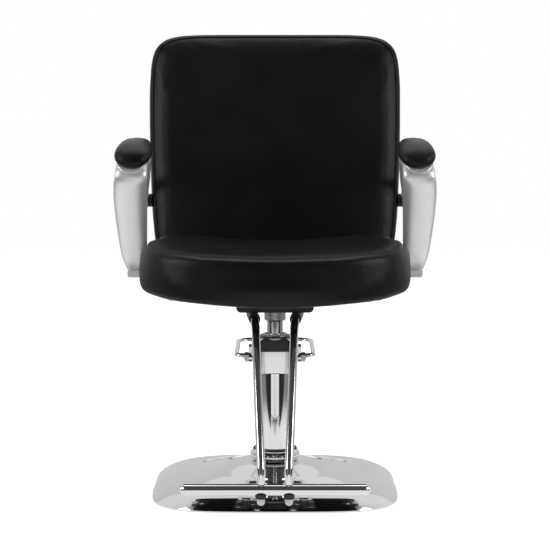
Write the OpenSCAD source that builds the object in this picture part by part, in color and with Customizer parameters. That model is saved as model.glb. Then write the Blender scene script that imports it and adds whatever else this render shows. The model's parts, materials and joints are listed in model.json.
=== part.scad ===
// Hairdressing chair with a foot-pumped hydraulic column.
// Millimetres, +Z up, the seat faces -Y. The origin is on the column's axis at the floor.

/* [Base] */
// Width of the base cover at the floor
base_w = 482; // [430:1:520]
// Depth of the base cover at the floor
base_d = 452; // [400:1:500]
// Height of the cover's shallow rim
rim_h = 22; // [14:1:28]
// Height of the cover where it meets the collar
dome_h = 53; // [44:1:60]
// Thickness of the pressed cover
cover_t = 2.5; // [2:0.5:3]

/* [Column and pump] */
// Diameter of the outer column tube
column_d = 70; // [66:1:74]
// Diameter of the pump head
head_d = 86; // [80:1:90]
// Height of the pump head's underside above the floor
head_z = 231; // [215:1:240]
// Height of the pump head
head_h = 70; // [60:1:76]
// Diameter of the piston
piston_d = 31.2; // [28:0.2:34]
// Height that the pump lifts the seat by
lift = 150; // [60:1:160]
// Running clearance of the sliding and turning fits, on the radius
fit = 0.05; // [0.03:0.01:0.08]

/* [Pedal] */
// Width of the pedal's bail over its rod
bail_w = 164; // [150:1:180]
// Reach of the pedal's bail behind the column's axis
bail_reach = 215; // [180:1:250]
// Diameter of the pedal's rod
bail_rod_d = 9; // [8:0.5:9]
// Stroke of the pump plunger
plunger_stroke = 12; // [8:1:16]

/* [Seat] */
// Width of the seat across its front wings
seat_w = 526; // [490:1:560]
// Depth of the seat from its bowed front to its back edge
seat_d = 470; // [430:1:500]
// Height of the seat's underside above the floor
seat_z = 391; // [380:1:400]
// Thickness of the seat cushion in the middle of its front
seat_t = 88; // [80:1:100]
// Height by which the seat's sides rise above its middle
seat_smile = 14; // [8:1:18]
// Thickness of the plywood seat board
board_t = 12; // [9:1:15]

/* [Back] */
// Width that the backrest has beyond the seat's
back_extra_w = 10; // [0:1:20]
// Height of the backrest along its slope
back_h = 503; // [450:1:540]
// Thickness of the back cushion
back_t = 58; // [45:1:66]
// Thickness of the shell behind the back board
back_shell_t = 20; // [16:1:30]
// Angle by which the backrest leans
back_lean = 8; // [4:0.5:12]

/* [Arms] */
// Width of the arm's broad front band
arm_w = 64; // [56:1:66]
// Thickness of the arm's band
arm_t = 24; // [20:1:28]
// Width of the arm pad
pad_w = 70; // [60:1:74]
// Thickness of the arm pad
pad_t = 27; // [22:1:32]

/* [Footrest] */
// Length of the footrest's crossbar
footbar_l = 334; // [300:1:400]
// Diameter of the footrest's crossbar
footbar_d = 20.6; // [18:0.2:24]
// Diameter of the two footrest arms
footarm_d = 15.8; // [14:0.2:18]
// Height of the crossbar's axis above the floor
footbar_z = 73; // [66:1:90]
// Angle below level at which the footrest arms slope
footarm_slope = 56; // [50:1:62]

/* [Hidden] */
$fn = 72;

// Overrun of a cut past the face that it opens
eps = 1;
// Gap kept between curved faces and round soft pieces
gap = 0.3;

// Shared small sizes of steel parts
bolt_d = 8;
bolt_head_d = 14;
bolt_head_h = 5.5;
washer_t = 1.5;

// Places that the seat, the arms and the back share
seat_front_y = -268;
seat_back_gap = 4;
back_y = seat_front_y + seat_d + seat_back_gap;
back_w = seat_w + back_extra_w;
back_arm_y = 21;
arm_run = 382;
arm_rear_y = back_y + 2 * back_arm_y;
arm_front_y = arm_rear_y - arm_run;
arm_foot_share = 0.408;
foot_y = arm_front_y + arm_foot_share * arm_run;
bracket_w = 48;

// A point of the superellipse with half sizes a and b and exponent n, at angle t
function super(t, a, b, n) = [
    a * sign(cos(t)) * pow(abs(cos(t)), 2 / n),
    b * sign(sin(t)) * pow(abs(sin(t)), 2 / n)
];

// Smooth step from 0 to 1
function ease(s) = let(c = min(1, max(0, s))) c * c * (3 - 2 * c);

// Catmull-Rom blend of four values
function blend4(a, b, c, d, s) =
    (2 * b + (c - a) * s + (2 * a - 5 * b + 4 * c - d) * s * s + (3 * b - a - 3 * c + d) * s * s * s) / 2;

// Row i of a table, held inside its ends
function row(table, i) = table[min(len(table) - 1, max(0, i))];

// The table read smoothly at a place u, counted in rows
function along(table, u) =
    let(i = min(len(table) - 2, floor(u)), s = u - i)
    blend4(row(table, i - 1), row(table, i), row(table, i + 1), row(table, i + 2), s);

// Middle of a ring of points
function middle(ring) = [for (k = [0:2]) [for (p = ring) p[k]] * [for (p = ring) 1] / len(ring)];

// A closed solid through rings of equal counts, its ends closed about their middles
module loft(rings) {
    n = len(rings[0]);
    last = len(rings) - 1;
    points = concat([for (r = rings) for (p = r) p], [middle(rings[0]), middle(rings[last])]);
    a = n * len(rings);
    sides = [
        for (i = [0:last - 1]) for (j = [0:n - 1])
            let(k = (j + 1) % n, p = i * n + j, q = i * n + k)
            each [[p, p + n, q], [q, p + n, q + n]]
    ];
    ends = [
        for (j = [0:n - 1]) let(k = (j + 1) % n) each [[a, j, k], [a + 1, last * n + k, last * n + j]]
    ];
    polyhedron(points, concat(sides, ends), convexity = 6);
}

// Draws its children on both sides of the chair
module both_sides() {
    children();
    mirror([1, 0, 0]) children();
}

module hex_head(d, h) {
    cylinder(d = d / cos(30), h = h, $fn = 6);
}

module tube(d_out, d_in, h) {
    difference() {
        cylinder(d = d_out, h = h);
        translate([0, 0, -eps]) cylinder(d = d_in, h = h + 2 * eps);
    }
}

// Base: a flat plate on the floor under a pressed cover
plate_t = 5;
plate_r = 165;
flange_d = 150;
flange_t = 12;
flange_bolt_ring_d = 118;
flange_bolts_n = 4;
rim_lip = 3;
rim_run = 60;
cover_slack = 2;
cover_hole_d = column_d + 2 * cover_slack;
cover_sides = 60;
cover_edge_exponent = 4.2;
// Two steps of the cover's rise: the share of the height in each, where each starts and how far it runs
step_share = [0.45, 0.55];
step_start_share = [0, 0.30];
step_run_share = [0.42, 0.62];
round_run_share = 0.8;

// Height of the cover's top at a share s of the way from its edge to its hole
function cover_rise(s) =
    let(run = s * (base_w - cover_hole_d) / 2, rim = min(1, run / rim_run))
    run <= rim_run
        ? rim_lip + (rim_h - rim_lip) * (1 - pow(1 - rim, 2))
        : let(q = (run - rim_run) / ((base_w - cover_hole_d) / 2 - rim_run))
          rim_h + (dome_h - rim_h) * (step_share * [for (i = [0, 1]) ease((q - step_start_share[i]) / step_run_share[i])]);

// One ring of the cover at a share s inwards, drawn in by a wall of thickness t, at height z
function cover_ring(s, t, z) = [
    for (j = [0:cover_sides - 1])
        let(
            angle = 360 * j / cover_sides,
            n = 2 + (cover_edge_exponent - 2) * (1 - ease(s / round_run_share)),
            w = (1 - s) * base_w / 2 + s * cover_hole_d / 2 - t,
            d = (1 - s) * base_d / 2 + s * cover_hole_d / 2 - t,
            p = super(angle, w, d, n)
        )
        [p[0], p[1], z]
];

module base_plate() {
    color("dimgray") cylinder(r = plate_r, h = plate_t);
}

module base_cover() {
    top_shares = [0, 0.03, 0.07, 0.12, 0.18, 0.24, 0.3, 0.4, 0.5, 0.6, 0.7, 0.8, 0.9, 1];
    under_shares = [0, 0.1, 0.2, 0.3, 0.4, 0.6, 0.8, 1];
    rings = concat(
        [cover_ring(0, 0, 0)],
        [for (s = top_shares) cover_ring(s, 0, cover_rise(s))],
        [for (i = [len(under_shares) - 1:-1:0])
            let(s = under_shares[i])
            cover_ring(s, s < 1 ? cover_t : 0, max(0, cover_rise(s) - cover_t))],
        [cover_ring(0, cover_t, 0)]
    );
    n = cover_sides;
    m = len(rings);
    faces = [
        for (i = [0:m - 1]) for (j = [0:n - 1])
            let(k = (j + 1) % n, h = (i + 1) % m)
            each [[i * n + j, h * n + j, i * n + k], [i * n + k, h * n + j, h * n + k]]
    ];
    color("gainsboro") polyhedron([for (r = rings) for (p = r) p], faces, convexity = 6);
}

module column_flange() {
    color("dimgray") translate([0, 0, plate_t]) difference() {
        cylinder(d = flange_d, h = flange_t);
        translate([0, 0, flange_t / 2]) cylinder(d = column_d + 2 * fit, h = flange_t);
        for (a = [0:flange_bolts_n - 1])
            rotate(45 + 360 / flange_bolts_n * a) translate([flange_bolt_ring_d / 2, 0, -eps])
                cylinder(d = bolt_d, h = flange_t + 2 * eps);
    }
}

module flange_bolts() {
    color("silver") for (a = [0:flange_bolts_n - 1])
        rotate(45 + 360 / flange_bolts_n * a) translate([flange_bolt_ring_d / 2, 0, plate_t]) {
            cylinder(d = bolt_d, h = flange_t);
            translate([0, 0, flange_t]) hex_head(bolt_head_d, bolt_head_h);
        }
}

// Column: the outer tube stands in the flange and carries the pump head
column_t = 4;
column_foot_z = plate_t + flange_t / 2;
collar_d = 100;
collar_h = 22;
collar_z = dome_h;
gasket_d = 88;
gasket_h = 6;
collar_bore_d = column_d + 2 * gap;

module column_tube() {
    color("gainsboro") translate([0, 0, column_foot_z])
        tube(column_d, column_d - 2 * column_t, head_z - column_foot_z);
}

module column_collar() {
    edge_r = collar_h / 2;
    color("gainsboro") translate([0, 0, collar_z]) rotate_extrude() difference() {
        union() {
            translate([collar_bore_d / 2, 0]) square([collar_d / 2 - edge_r - collar_bore_d / 2, collar_h]);
            translate([collar_d / 2 - edge_r, edge_r]) circle(r = edge_r);
        }
        translate([0, -eps]) square([collar_bore_d / 2, collar_h + 2 * eps]);
        translate([0, collar_h - gasket_h / 2]) square([gasket_d / 2, gasket_h]);
    }
}

module collar_gasket() {
    color("black") translate([0, 0, collar_z + collar_h - gasket_h / 2])
        tube(gasket_d - 2 * fit, collar_bore_d, gasket_h);
}

// Pump: the head, its packing and the side barrel with the plunger that the pedal presses
head_shoulder_r = 33;
// Depth of the flat face that the casting has in front
head_flat = 12;
inner_d = 46;
inner_bore_d = 38;
inner_depth = 40;
disc_d = 66;
disc_t = 3;
nut_d = 50;
nut_h = 7;
seal_t = 4;
seal_w = 4.5;
seal_d = piston_d + 2 * seal_w;
pivot_rise = 29;
pivot_z = head_z + pivot_rise;
pin_d = 10;
boss_d = 22;
boss_out = 46;
ear_t = 6;
ear_in = boss_out + gap;
pin_end_l = 10;
pin_out = ear_in + ear_t + pin_end_l;
pivot_nut_d = 17;
pivot_nut_t = 8;
pin_in = 28;
barrel_y = 60;
barrel_d = 26;
barrel_z = 155;
barrel_h = 60;
saddle_w = 22;
plunger_d = 12;
plunger_tip_d = 10;
strap_t = 6;
strap_drop = 10;
strap_z = pivot_z - strap_drop;
plunger_collar_d = 20;
plunger_collar_t = 3;
plunger_low_z = barrel_z + barrel_h / 2;
plunger_bore_z = plunger_low_z - plunger_stroke - barrel_d / 4;
tip_z = strap_z - gap - plunger_tip_d / 2;
plunger_collar_z = tip_z - plunger_tip_d / 4 - plunger_collar_t;
spring_wire_d = 2;
spring_turns = 4;
spring_steps = 10;
spring_sides = 6;

module inner_cylinder() {
    color("silver") translate([0, 0, column_foot_z])
        tube(inner_d, inner_bore_d, head_z + inner_depth - column_foot_z);
}

module pump_head() {
    r = head_d / 2;
    color("gainsboro") difference() {
        union() {
            translate([0, 0, head_z]) rotate_extrude() intersection() {
                square([r, head_h]);
                union() {
                    square([r, head_h - head_shoulder_r]);
                    square([r - head_shoulder_r, head_h]);
                    translate([r - head_shoulder_r, head_h - head_shoulder_r]) circle(r = head_shoulder_r);
                }
            }
            translate([-boss_out, 0, pivot_z]) rotate([0, 90, 0]) cylinder(d = boss_d, h = 2 * boss_out);
        }
        translate([0, 0, head_z - eps]) cylinder(d = inner_d + 2 * fit, h = inner_depth + eps);
        cylinder(d = piston_d + 2 * fit, h = head_z + head_h + eps);
        translate([-r, -r - eps, head_z - eps]) cube([2 * r, head_flat + eps, head_h + 2 * eps]);
        both_sides() translate([pin_in, 0, pivot_z]) rotate([0, 90, 0]) cylinder(d = pin_d, h = boss_out);
    }
}

module head_disc() {
    color("dimgray") translate([0, 0, head_z + head_h]) tube(disc_d, nut_d - 2 * disc_t, disc_t);
}

module packing_nut() {
    color("silver") translate([0, 0, head_z + head_h]) difference() {
        union() {
            cylinder(d = nut_d - 2 * disc_t, h = disc_t);
            translate([0, 0, disc_t]) cylinder(d = nut_d, h = nut_h - disc_t);
        }
        translate([0, 0, -eps]) cylinder(d = piston_d + 2 * fit, h = nut_h + 2 * eps);
        translate([0, 0, nut_h - seal_t]) cylinder(d = seal_d, h = seal_t + eps);
    }
}

module wiper_seal() {
    color("black") translate([0, 0, head_z + head_h + nut_h - seal_t])
        tube(seal_d, piston_d + 2 * fit, seal_t);
}

module pump_barrel() {
    color("silver") difference() {
        union() {
            translate([0, barrel_y, barrel_z]) cylinder(d = barrel_d, h = barrel_h);
            translate([-saddle_w / 2, 0, barrel_z]) cube([saddle_w, barrel_y, barrel_h]);
        }
        translate([0, 0, barrel_z - eps]) cylinder(d = column_d, h = barrel_h + 2 * eps);
        translate([0, barrel_y, plunger_bore_z]) cylinder(d = plunger_d + 2 * fit, h = barrel_h);
    }
}

// Pins on the two sides carry the pedal's yoke, with a nut outside each ear
module pivot_pins() {
    color("silver") both_sides() translate([pin_in, 0, pivot_z]) rotate([0, 90, 0])
        cylinder(d = pin_d, h = pin_out - pin_in);
}

module pivot_nuts() {
    color("silver") both_sides() translate([ear_in + ear_t + gap, 0, pivot_z]) rotate([0, 90, 0])
        difference() {
            hex_head(pivot_nut_d, pivot_nut_t);
            translate([0, 0, -eps]) cylinder(d = pin_d, h = pivot_nut_t + 2 * eps);
        }
}

// Piston: the chromed rod and the ring that seals it in the inner cylinder
ring_h = 18;
piston_guide_l = 33;
piston_low_z = head_z + inner_depth - ring_h - piston_guide_l - lift;
piston_top_z = 352;

module piston_rod() {
    color("gainsboro") translate([0, 0, piston_low_z]) cylinder(d = piston_d, h = piston_top_z - piston_low_z);
}

module piston_ring() {
    color("dimgray") translate([0, 0, piston_low_z]) tube(inner_bore_d - 2 * fit, piston_d, ring_h);
}

// Pedal: a yoke of two ears and a strap, and a bail of round rod behind the column
ear_eye_d = 20;
ear_rise = 26;
strap_w = 16;
bail_start_y = 18;
bail_bend_r = 24;
bail_elbow_r = 12;
bail_tilt = 1.5;

module pedal_yoke() {
    reach = barrel_y + strap_w / 2;
    color("gainsboro") {
        difference() {
            both_sides() translate([ear_in, 0, pivot_z]) rotate([90, 0, 90]) linear_extrude(ear_t) union() {
                circle(d = ear_eye_d);
                translate([-ear_eye_d / 4, 0]) square([ear_eye_d / 2, ear_rise - ear_eye_d / 4]);
                translate([0, ear_rise - ear_eye_d / 4]) circle(d = ear_eye_d / 2);
                translate([0, strap_z - pivot_z]) square([reach, pivot_z - strap_z + strap_t]);
            }
            translate([-boss_out - eps - ear_t, 0, pivot_z]) rotate([0, 90, 0])
                cylinder(d = pin_d + 2 * fit, h = 2 * (boss_out + eps + ear_t));
        }
        translate([-ear_in, barrel_y - strap_w / 2, strap_z]) cube([2 * ear_in, strap_w, strap_t]);
    }
}

module pedal_bail() {
    side_x = (bail_w - bail_rod_d) / 2;
    rear_y = bail_reach - bail_rod_d / 2;
    elbow_y = bail_start_y + bail_elbow_r;
    start_x = ear_in + ear_t;
    color("gainsboro") translate([0, 0, pivot_z]) rotate([bail_tilt, 0, 0]) {
        translate([-(side_x - bail_bend_r), rear_y, 0]) rotate([0, 90, 0])
            cylinder(d = bail_rod_d, h = 2 * (side_x - bail_bend_r));
        both_sides() {
            translate([side_x - bail_bend_r, rear_y - bail_bend_r, 0])
                rotate_extrude(angle = 90) translate([bail_bend_r, 0]) circle(d = bail_rod_d);
            translate([side_x, elbow_y, 0]) rotate([-90, 0, 0])
                cylinder(d = bail_rod_d, h = rear_y - bail_bend_r - elbow_y);
            translate([side_x - bail_elbow_r, elbow_y, 0]) rotate([0, 0, -90])
                rotate_extrude(angle = 90) translate([bail_elbow_r, 0]) circle(d = bail_rod_d);
            translate([start_x, bail_start_y, 0]) rotate([0, 90, 0])
                cylinder(d = bail_rod_d, h = side_x - bail_elbow_r - start_x);
        }
    }
}

module pump_plunger() {
    color("silver") translate([0, barrel_y, 0]) {
        translate([0, 0, plunger_low_z]) cylinder(d = plunger_d, h = barrel_z + barrel_h - plunger_low_z);
        translate([0, 0, barrel_z + barrel_h]) cylinder(d = plunger_tip_d, h = tip_z - barrel_z - barrel_h);
        translate([0, 0, plunger_collar_z]) cylinder(d = plunger_collar_d, h = plunger_collar_t);
        translate([0, 0, tip_z]) sphere(d = plunger_tip_d);
    }
}

// One ring of the spring's wire at a place s from 0 to 1 along it
function spring_ring(s, low, high, r) =
    let(
        a = 360 * spring_turns * s,
        z = low + (high - low) * s,
        pitch = atan((high - low) / (spring_turns * 2 * PI * r))
    )
    [for (k = [0:spring_sides - 1])
        let(
            b = 360 * k / spring_sides,
            out = spring_wire_d / 2 * cos(b),
            up = spring_wire_d / 2 * sin(b)
        )
        [(r + out) * cos(a) + up * sin(pitch) * sin(a), (r + out) * sin(a) - up * sin(pitch) * cos(a),
            z + up * cos(pitch)]];

module plunger_spring() {
    r = (plunger_collar_d - spring_wire_d) / 2;
    low = barrel_z + barrel_h + spring_wire_d / 2 + gap;
    high = plunger_collar_z - spring_wire_d / 2 - gap;
    n = spring_turns * spring_steps;
    color("silver") translate([0, barrel_y, 0]) loft([for (i = [0:n]) spring_ring(i / n, low, high, r)]);
}

// Seat frame: a turned socket on the piston carries a pressed steel plate under the board
pan_w = 147;
pan_d = 230;
pan_front_y = -140;
pan_h = 25;
pan_t = 4;
pan_corner_r = 9;
pan_z = seat_z - pan_h;
pan_flange_w = 20;
socket_d = 42.6;
socket_z = 333;
socket_chamfer = 3;
socket_floor_z = piston_top_z + gap;
seat_bolt_x = (pan_w + pan_flange_w) / 2;
seat_bolt_y_share = [0.18, 0.82];

module seat_socket() {
    color("silver") difference() {
        union() {
            translate([0, 0, socket_z]) cylinder(d1 = socket_d - 2 * socket_chamfer, d2 = socket_d, h = socket_chamfer);
            translate([0, 0, socket_z + socket_chamfer])
                cylinder(d = socket_d, h = seat_z - pan_t - socket_z - socket_chamfer);
        }
        translate([0, 0, socket_z - eps]) cylinder(d = piston_d + 2 * fit, h = socket_floor_z - socket_z + eps);
    }
}

module seat_plate() {
    color("black") difference() {
        union() {
            translate([0, pan_front_y + pan_d, pan_z]) rotate([90, 0, 0]) linear_extrude(pan_d) union() {
                translate([-pan_w / 2, pan_corner_r]) square([pan_w, pan_h - pan_corner_r]);
                translate([-pan_w / 2 + pan_corner_r, 0]) square([pan_w - 2 * pan_corner_r, pan_h]);
                both_sides() translate([pan_w / 2 - pan_corner_r, pan_corner_r]) circle(r = pan_corner_r);
            }
            translate([-pan_w / 2 - pan_flange_w, pan_front_y, seat_z - pan_t])
                cube([pan_w + 2 * pan_flange_w, pan_d, pan_t]);
        }
        translate([-pan_w / 2 + pan_t, pan_front_y + pan_t, pan_z + pan_t])
            cube([pan_w - 2 * pan_t, pan_d - 2 * pan_t, pan_h]);
        translate([0, 0, pan_z - eps]) cylinder(d = socket_d, h = pan_h);
        both_sides() for (s = seat_bolt_y_share)
            translate([seat_bolt_x, pan_front_y + s * pan_d, seat_z - pan_t - eps])
                cylinder(d = bolt_d, h = pan_t + 2 * eps);
    }
}

module plate_bolts() {
    color("silver") both_sides() for (s = seat_bolt_y_share)
        translate([seat_bolt_x, pan_front_y + s * pan_d, seat_z - pan_t]) {
            cylinder(d = bolt_d, h = pan_t + board_t / 2);
            translate([0, 0, -bolt_head_h]) hex_head(bolt_head_d, bolt_head_h);
        }
}

// Seat: the plan bows at the front and draws in behind the wings, where the arms stand
seat_mid_y = seat_front_y + seat_d / 2;
seat_exponent = 3;
wing_clear = 20;
wing_run = 90;
wing_end_y = foot_y - bracket_w / 2 - wing_run - wing_clear;
wing_share = 0.067;
seat_points = 52;
board_inset = 40;
side_rise = 13;
bolster_start = 40;
seat_crown = 5;
edge_drop_share = 0.07;

// A point of the seat's plan at angle t, drawn in by an inset
function seat_plan(t, inset) =
    let(
        p = super(t, seat_w / 2 - inset, seat_d / 2 - inset, seat_exponent),
        y = seat_mid_y + p[1],
        draw = 1 - wing_share * ease((y - wing_end_y) / wing_run)
    )
    [p[0] * draw, y];

// Height that the seat's sides gain at x
function smile(x) = seat_smile * pow(2 * x / seat_w, 2);

function seat_ring(inset, z) =
    [for (j = [0:seat_points - 1]) let(p = seat_plan(360 * j / seat_points, inset)) [p[0], p[1], z + smile(p[0])]];

// A ring of the sitting surface, at a share s of the plan
function seat_top_ring(s) = [
    for (j = [0:seat_points - 1])
        let(
            p = seat_plan(360 * j / seat_points, 0),
            x = s * p[0],
            y = seat_mid_y + s * (p[1] - seat_mid_y),
            bolster = side_rise * pow(2 * x / seat_w, 2) * ease((y - seat_front_y - bolster_start) / (seat_d / 2)),
            drop = seat_t * edge_drop_share * pow(s, 8)
        )
        [x, y, seat_z + seat_t + seat_crown * (1 - s * s) + smile(x) + bolster - drop]
];

module seat_board() {
    color("peru") translate([0, 0, seat_z]) difference() {
        linear_extrude(board_t)
            polygon([for (j = [0:seat_points - 1]) seat_plan(360 * j / seat_points, board_inset + gap)]);
        both_sides() for (s = seat_bolt_y_share)
            translate([seat_bolt_x, pan_front_y + s * pan_d, -eps]) cylinder(d = bolt_d, h = board_t / 2 + eps);
    }
}

module seat_cushion() {
    inset_share = [0.19, 0.085, 0.03, 0, 0, 0.012, 0.05, 0.115];
    height_share = [0.0, 0.035, 0.13, 0.34, 0.62, 0.82, 0.925, 0.975];
    recess = [for (p = seat_ring(board_inset, seat_z + board_t)) [p[0], p[1], seat_z + board_t]];
    mouth = [for (p = seat_ring(board_inset, seat_z)) [p[0], p[1], seat_z]];
    sides = [for (i = [0:len(inset_share) - 1])
        seat_ring(inset_share[i] * seat_t, seat_z + height_share[i] * seat_t)];
    top = [for (s = [0.9, 0.82, 0.7, 0.55, 0.38, 0.2]) seat_top_ring(s)];
    color("black") loft(concat([recess], [mouth], sides, top));
}

// Footrest: two bent rods in sockets under the plate, joined at the foot by a crossbar
footarm_x = 38.6;
footarm_front_y = -150;
footarm_back_y = -52;
footarm_toe = 4.1;
footarm_bend_r = 45;
footarm_foot_r = 40;
footarm_foot_l = 14;
footarm_socket_d = 22;
footarm_socket_l = 88;
footarm_z = pan_z - footarm_socket_d / 2;
stud_d = 8;
saddle = 3;
footarm_sides = 18;
footarm_bend_steps = 7;
footarm_foot_steps = 4;
footbar_t = 1.8;
plug_t = 4;
bead_d = 11;
tapered_d = 23;
tapered_low_d = 19;
tapered_t = 6;
acorn_d = 15;
acorn_h = 13;
footarm_drop = footarm_z - footbar_z - footbar_d / 2 - footarm_foot_l
    - footarm_bend_r * (1 - cos(footarm_slope)) - footarm_foot_r * cos(footarm_slope);
footarm_l = footarm_drop / sin(footarm_slope);
footarm_run = footarm_bend_r * sin(footarm_slope) + footarm_l * cos(footarm_slope)
    + footarm_foot_r * (1 - sin(footarm_slope));
footbar_x = footarm_x - footarm_run * sin(footarm_toe);
footbar_y = footarm_front_y - footarm_run * cos(footarm_toe);

module footrest_sockets() {
    color("black") both_sides() translate([footarm_x, footarm_front_y, footarm_z]) rotate([-90, 0, -footarm_toe])
        tube(footarm_socket_d, footarm_d + 2 * fit, footarm_socket_l);
}

// A ring of the rod at y and z, where it heads towards -Y and down by an angle
function rod_ring(y, z, angle) = [
    for (k = [0:footarm_sides - 1])
        let(b = 360 * k / footarm_sides, out = footarm_d / 2 * cos(b), up = footarm_d / 2 * sin(b))
        [out, y - up * sin(angle), z + up * cos(angle)]
];

// A bent rod on the +X side
module footrest_arm() {
    a = footarm_slope;
    r = footarm_bend_r;
    f = footarm_foot_r;
    y2 = -r * sin(a) - footarm_l * cos(a);
    z2 = -r * (1 - cos(a)) - footarm_l * sin(a);
    bend = [for (i = [0:footarm_bend_steps]) let(b = a * i / footarm_bend_steps)
        rod_ring(-r * sin(b), -r * (1 - cos(b)), b)];
    foot = [for (i = [0:footarm_foot_steps]) let(b = a + (90 - a) * i / footarm_foot_steps)
        rod_ring(y2 + f * (sin(a) - sin(b)), z2 - f * (cos(a) - cos(b)), b)];
    rings = concat(
        [rod_ring(footarm_back_y - footarm_front_y, 0, 0)],
        bend,
        foot,
        [rod_ring(-footarm_run, z2 - f * cos(a) - footarm_foot_l, 90)]
    );
    translate([footarm_x, footarm_front_y, footarm_z]) rotate([0, 0, -footarm_toe]) loft(rings);
}

module footrest_arm_left() {
    color("gainsboro") mirror([1, 0, 0]) footrest_arm();
}

module footrest_arm_right() {
    color("gainsboro") footrest_arm();
}

// Studs tie the rods to the crossbar
module footrest_studs() {
    color("silver") both_sides() translate([footbar_x, footbar_y, footbar_z - footbar_d / 2 - tapered_t - acorn_h / 2])
        cylinder(d = stud_d, h = footbar_d + tapered_t + acorn_h / 2);
}

module footrest_crossbar() {
    color("gainsboro") difference() {
        translate([-footbar_l / 2 + plug_t, footbar_y, footbar_z]) rotate([0, 90, 0])
            tube(footbar_d, footbar_d - 2 * footbar_t, footbar_l - 2 * plug_t);
        both_sides() translate([footbar_x, footbar_y, footbar_z - footbar_d]) cylinder(d = stud_d, h = 2 * footbar_d);
    }
}

module crossbar_plugs() {
    neck_l = 12;
    color("gainsboro") both_sides() translate([footbar_l / 2 - plug_t, footbar_y, footbar_z]) rotate([0, 90, 0]) {
        cylinder(d1 = footbar_d, d2 = footbar_d - plug_t, h = plug_t);
        translate([0, 0, -neck_l]) cylinder(d = footbar_d - 2 * footbar_t, h = neck_l);
        intersection() {
            translate([0, 0, plug_t - bead_d / 8]) sphere(d = bead_d);
            cylinder(d = bead_d, h = bead_d);
        }
    }
}

module tapered_washers() {
    color("black") both_sides() difference() {
        translate([footbar_x, footbar_y, footbar_z - footbar_d / 2 - tapered_t])
            cylinder(d1 = tapered_low_d, d2 = tapered_d, h = tapered_t + saddle);
        translate([-footbar_l / 2, footbar_y, footbar_z]) rotate([0, 90, 0]) cylinder(d = footbar_d, h = footbar_l);
        translate([footbar_x, footbar_y, 0]) cylinder(d = stud_d, h = footbar_z);
    }
}

module acorn_nuts() {
    color("silver") both_sides() translate([footbar_x, footbar_y, footbar_z - footbar_d / 2 - tapered_t]) difference() {
        union() {
            translate([0, 0, -acorn_h + acorn_d / 2]) cylinder(d = acorn_d, h = acorn_h - acorn_d / 2);
            intersection() {
                translate([0, 0, -acorn_h + acorn_d / 2]) sphere(d = acorn_d);
                translate([0, 0, -acorn_h]) cylinder(d = acorn_d, h = acorn_d / 2);
            }
        }
        translate([0, 0, -acorn_h / 2]) cylinder(d = stud_d, h = acorn_h);
    }
}

// Arms: each casting is a band swept from its foot beside the seat, over the top, to the side of the back
arm_foot_z = 433;
arm_top_z = 652;
arm_points = 18;
arm_steps = 2;
arm_exponent = 2.8;
tray_t = 5;
tray_points = 12;
tray_width_share = 0.93;
pad_points = 18;
pad_exponent = 2.5;
pad_low_share = 0.26;
pad_shift = 3;
pad_taper_share = 0.24;
pad_taper_start_share = 0.42;
pad_taper_run_share = 0.3;
pad_start_share = 0.407;
pad_stop_share = 0.792;
tray_start_share = 0.394;
tray_stop_share = 0.801;
pad_end_share = 0.14;
pad_tip_share = 0.16;
end_shares = [0, 0.04, 0.12, 0.26, 0.5];
foot_block_h = 13;
foot_block_w = 35;
foot_block_l = 50;
foot_corner_r = 4;
bracket_t = 5.5;
bracket_l = 76;
bracket_bolt_inset = 23;
spacer_d = 28;
spacer_inset_y = 1;
spacer_rise_share = 0.589;

// Rows of the band: shares along the arm's run and rise, then middle, width and thickness as shares
arm_rows_share = [
    [arm_foot_share, -0.021, 0.118, 0.56, 0.85], [0.390, 0.132, 0.193, 0.78, 1.00], [0.285, 0.374, 0.193, 0.91, 1.15],
    [0.154, 0.616, 0.158, 1.0, 1.15], [0.042, 0.781, 0.104, 1.0, 1.10], [0.000, 0.877, 0.060, 0.965, 1.05],
    [0.042, 0.947, 0.050, 0.94, 1.00], [0.168, 0.986, 0.055, 0.91, 1.00], [0.351, 1.000, 0.085, 0.86, 1.00],
    [0.560, 0.990, 0.139, 0.8, 1.00], [0.743, 0.930, 0.212, 0.74, 1.00], [0.887, 0.813, 0.271, 0.66, 1.00],
    [0.974, 0.680, 0.338, 0.6, 0.95], [1.000, 0.534, 0.308, 0.54, 0.90]
];

arm_rows = len(arm_rows_share) - 1;
bracket_out_x = back_w / 2 + arm_rows_share[0][2] * arm_w - foot_block_w / 2;
bracket_in_x = bracket_out_x - bracket_l;
bracket_bolt_x = bracket_in_x + bracket_bolt_inset;
spacer_y = arm_rear_y - spacer_inset_y;
spacer_z = arm_foot_z + spacer_rise_share * (arm_top_z - arm_foot_z);

// The band at a place u, counted in rows: y, z, middle x, width, thickness, and its outward normal in y and z
function band(u) =
    let(
        r = along(arm_rows_share, u),
        q = along(arm_rows_share, u + 0.02) - along(arm_rows_share, u - 0.02),
        ty = q[0] * (arm_rear_y - arm_front_y),
        tz = q[1] * (arm_top_z - arm_foot_z),
        l = norm([ty, tz])
    )
    [
        arm_front_y + r[0] * (arm_rear_y - arm_front_y), arm_foot_z + r[1] * (arm_top_z - arm_foot_z),
        back_w / 2 + r[2] * arm_w, r[3] * arm_w, r[4] * arm_t, -tz / l, ty / l
    ];

// A ring of points given as pairs of x and offset, set square to the band at u
function band_ring(u, pairs) =
    let(b = band(u))
    [for (p = pairs) [b[2] + p[0], b[0] + b[5] * p[1], b[1] + b[6] * p[1]]];

// Share of full size at a place s from 0 to 1 along a pad, rounded at both ends
function round_end(s) =
    let(e = min(s, 1 - s) / pad_end_share)
    e >= 1 ? 1 : max(pad_tip_share, sqrt(1 - pow(1 - e, 2)));

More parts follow.
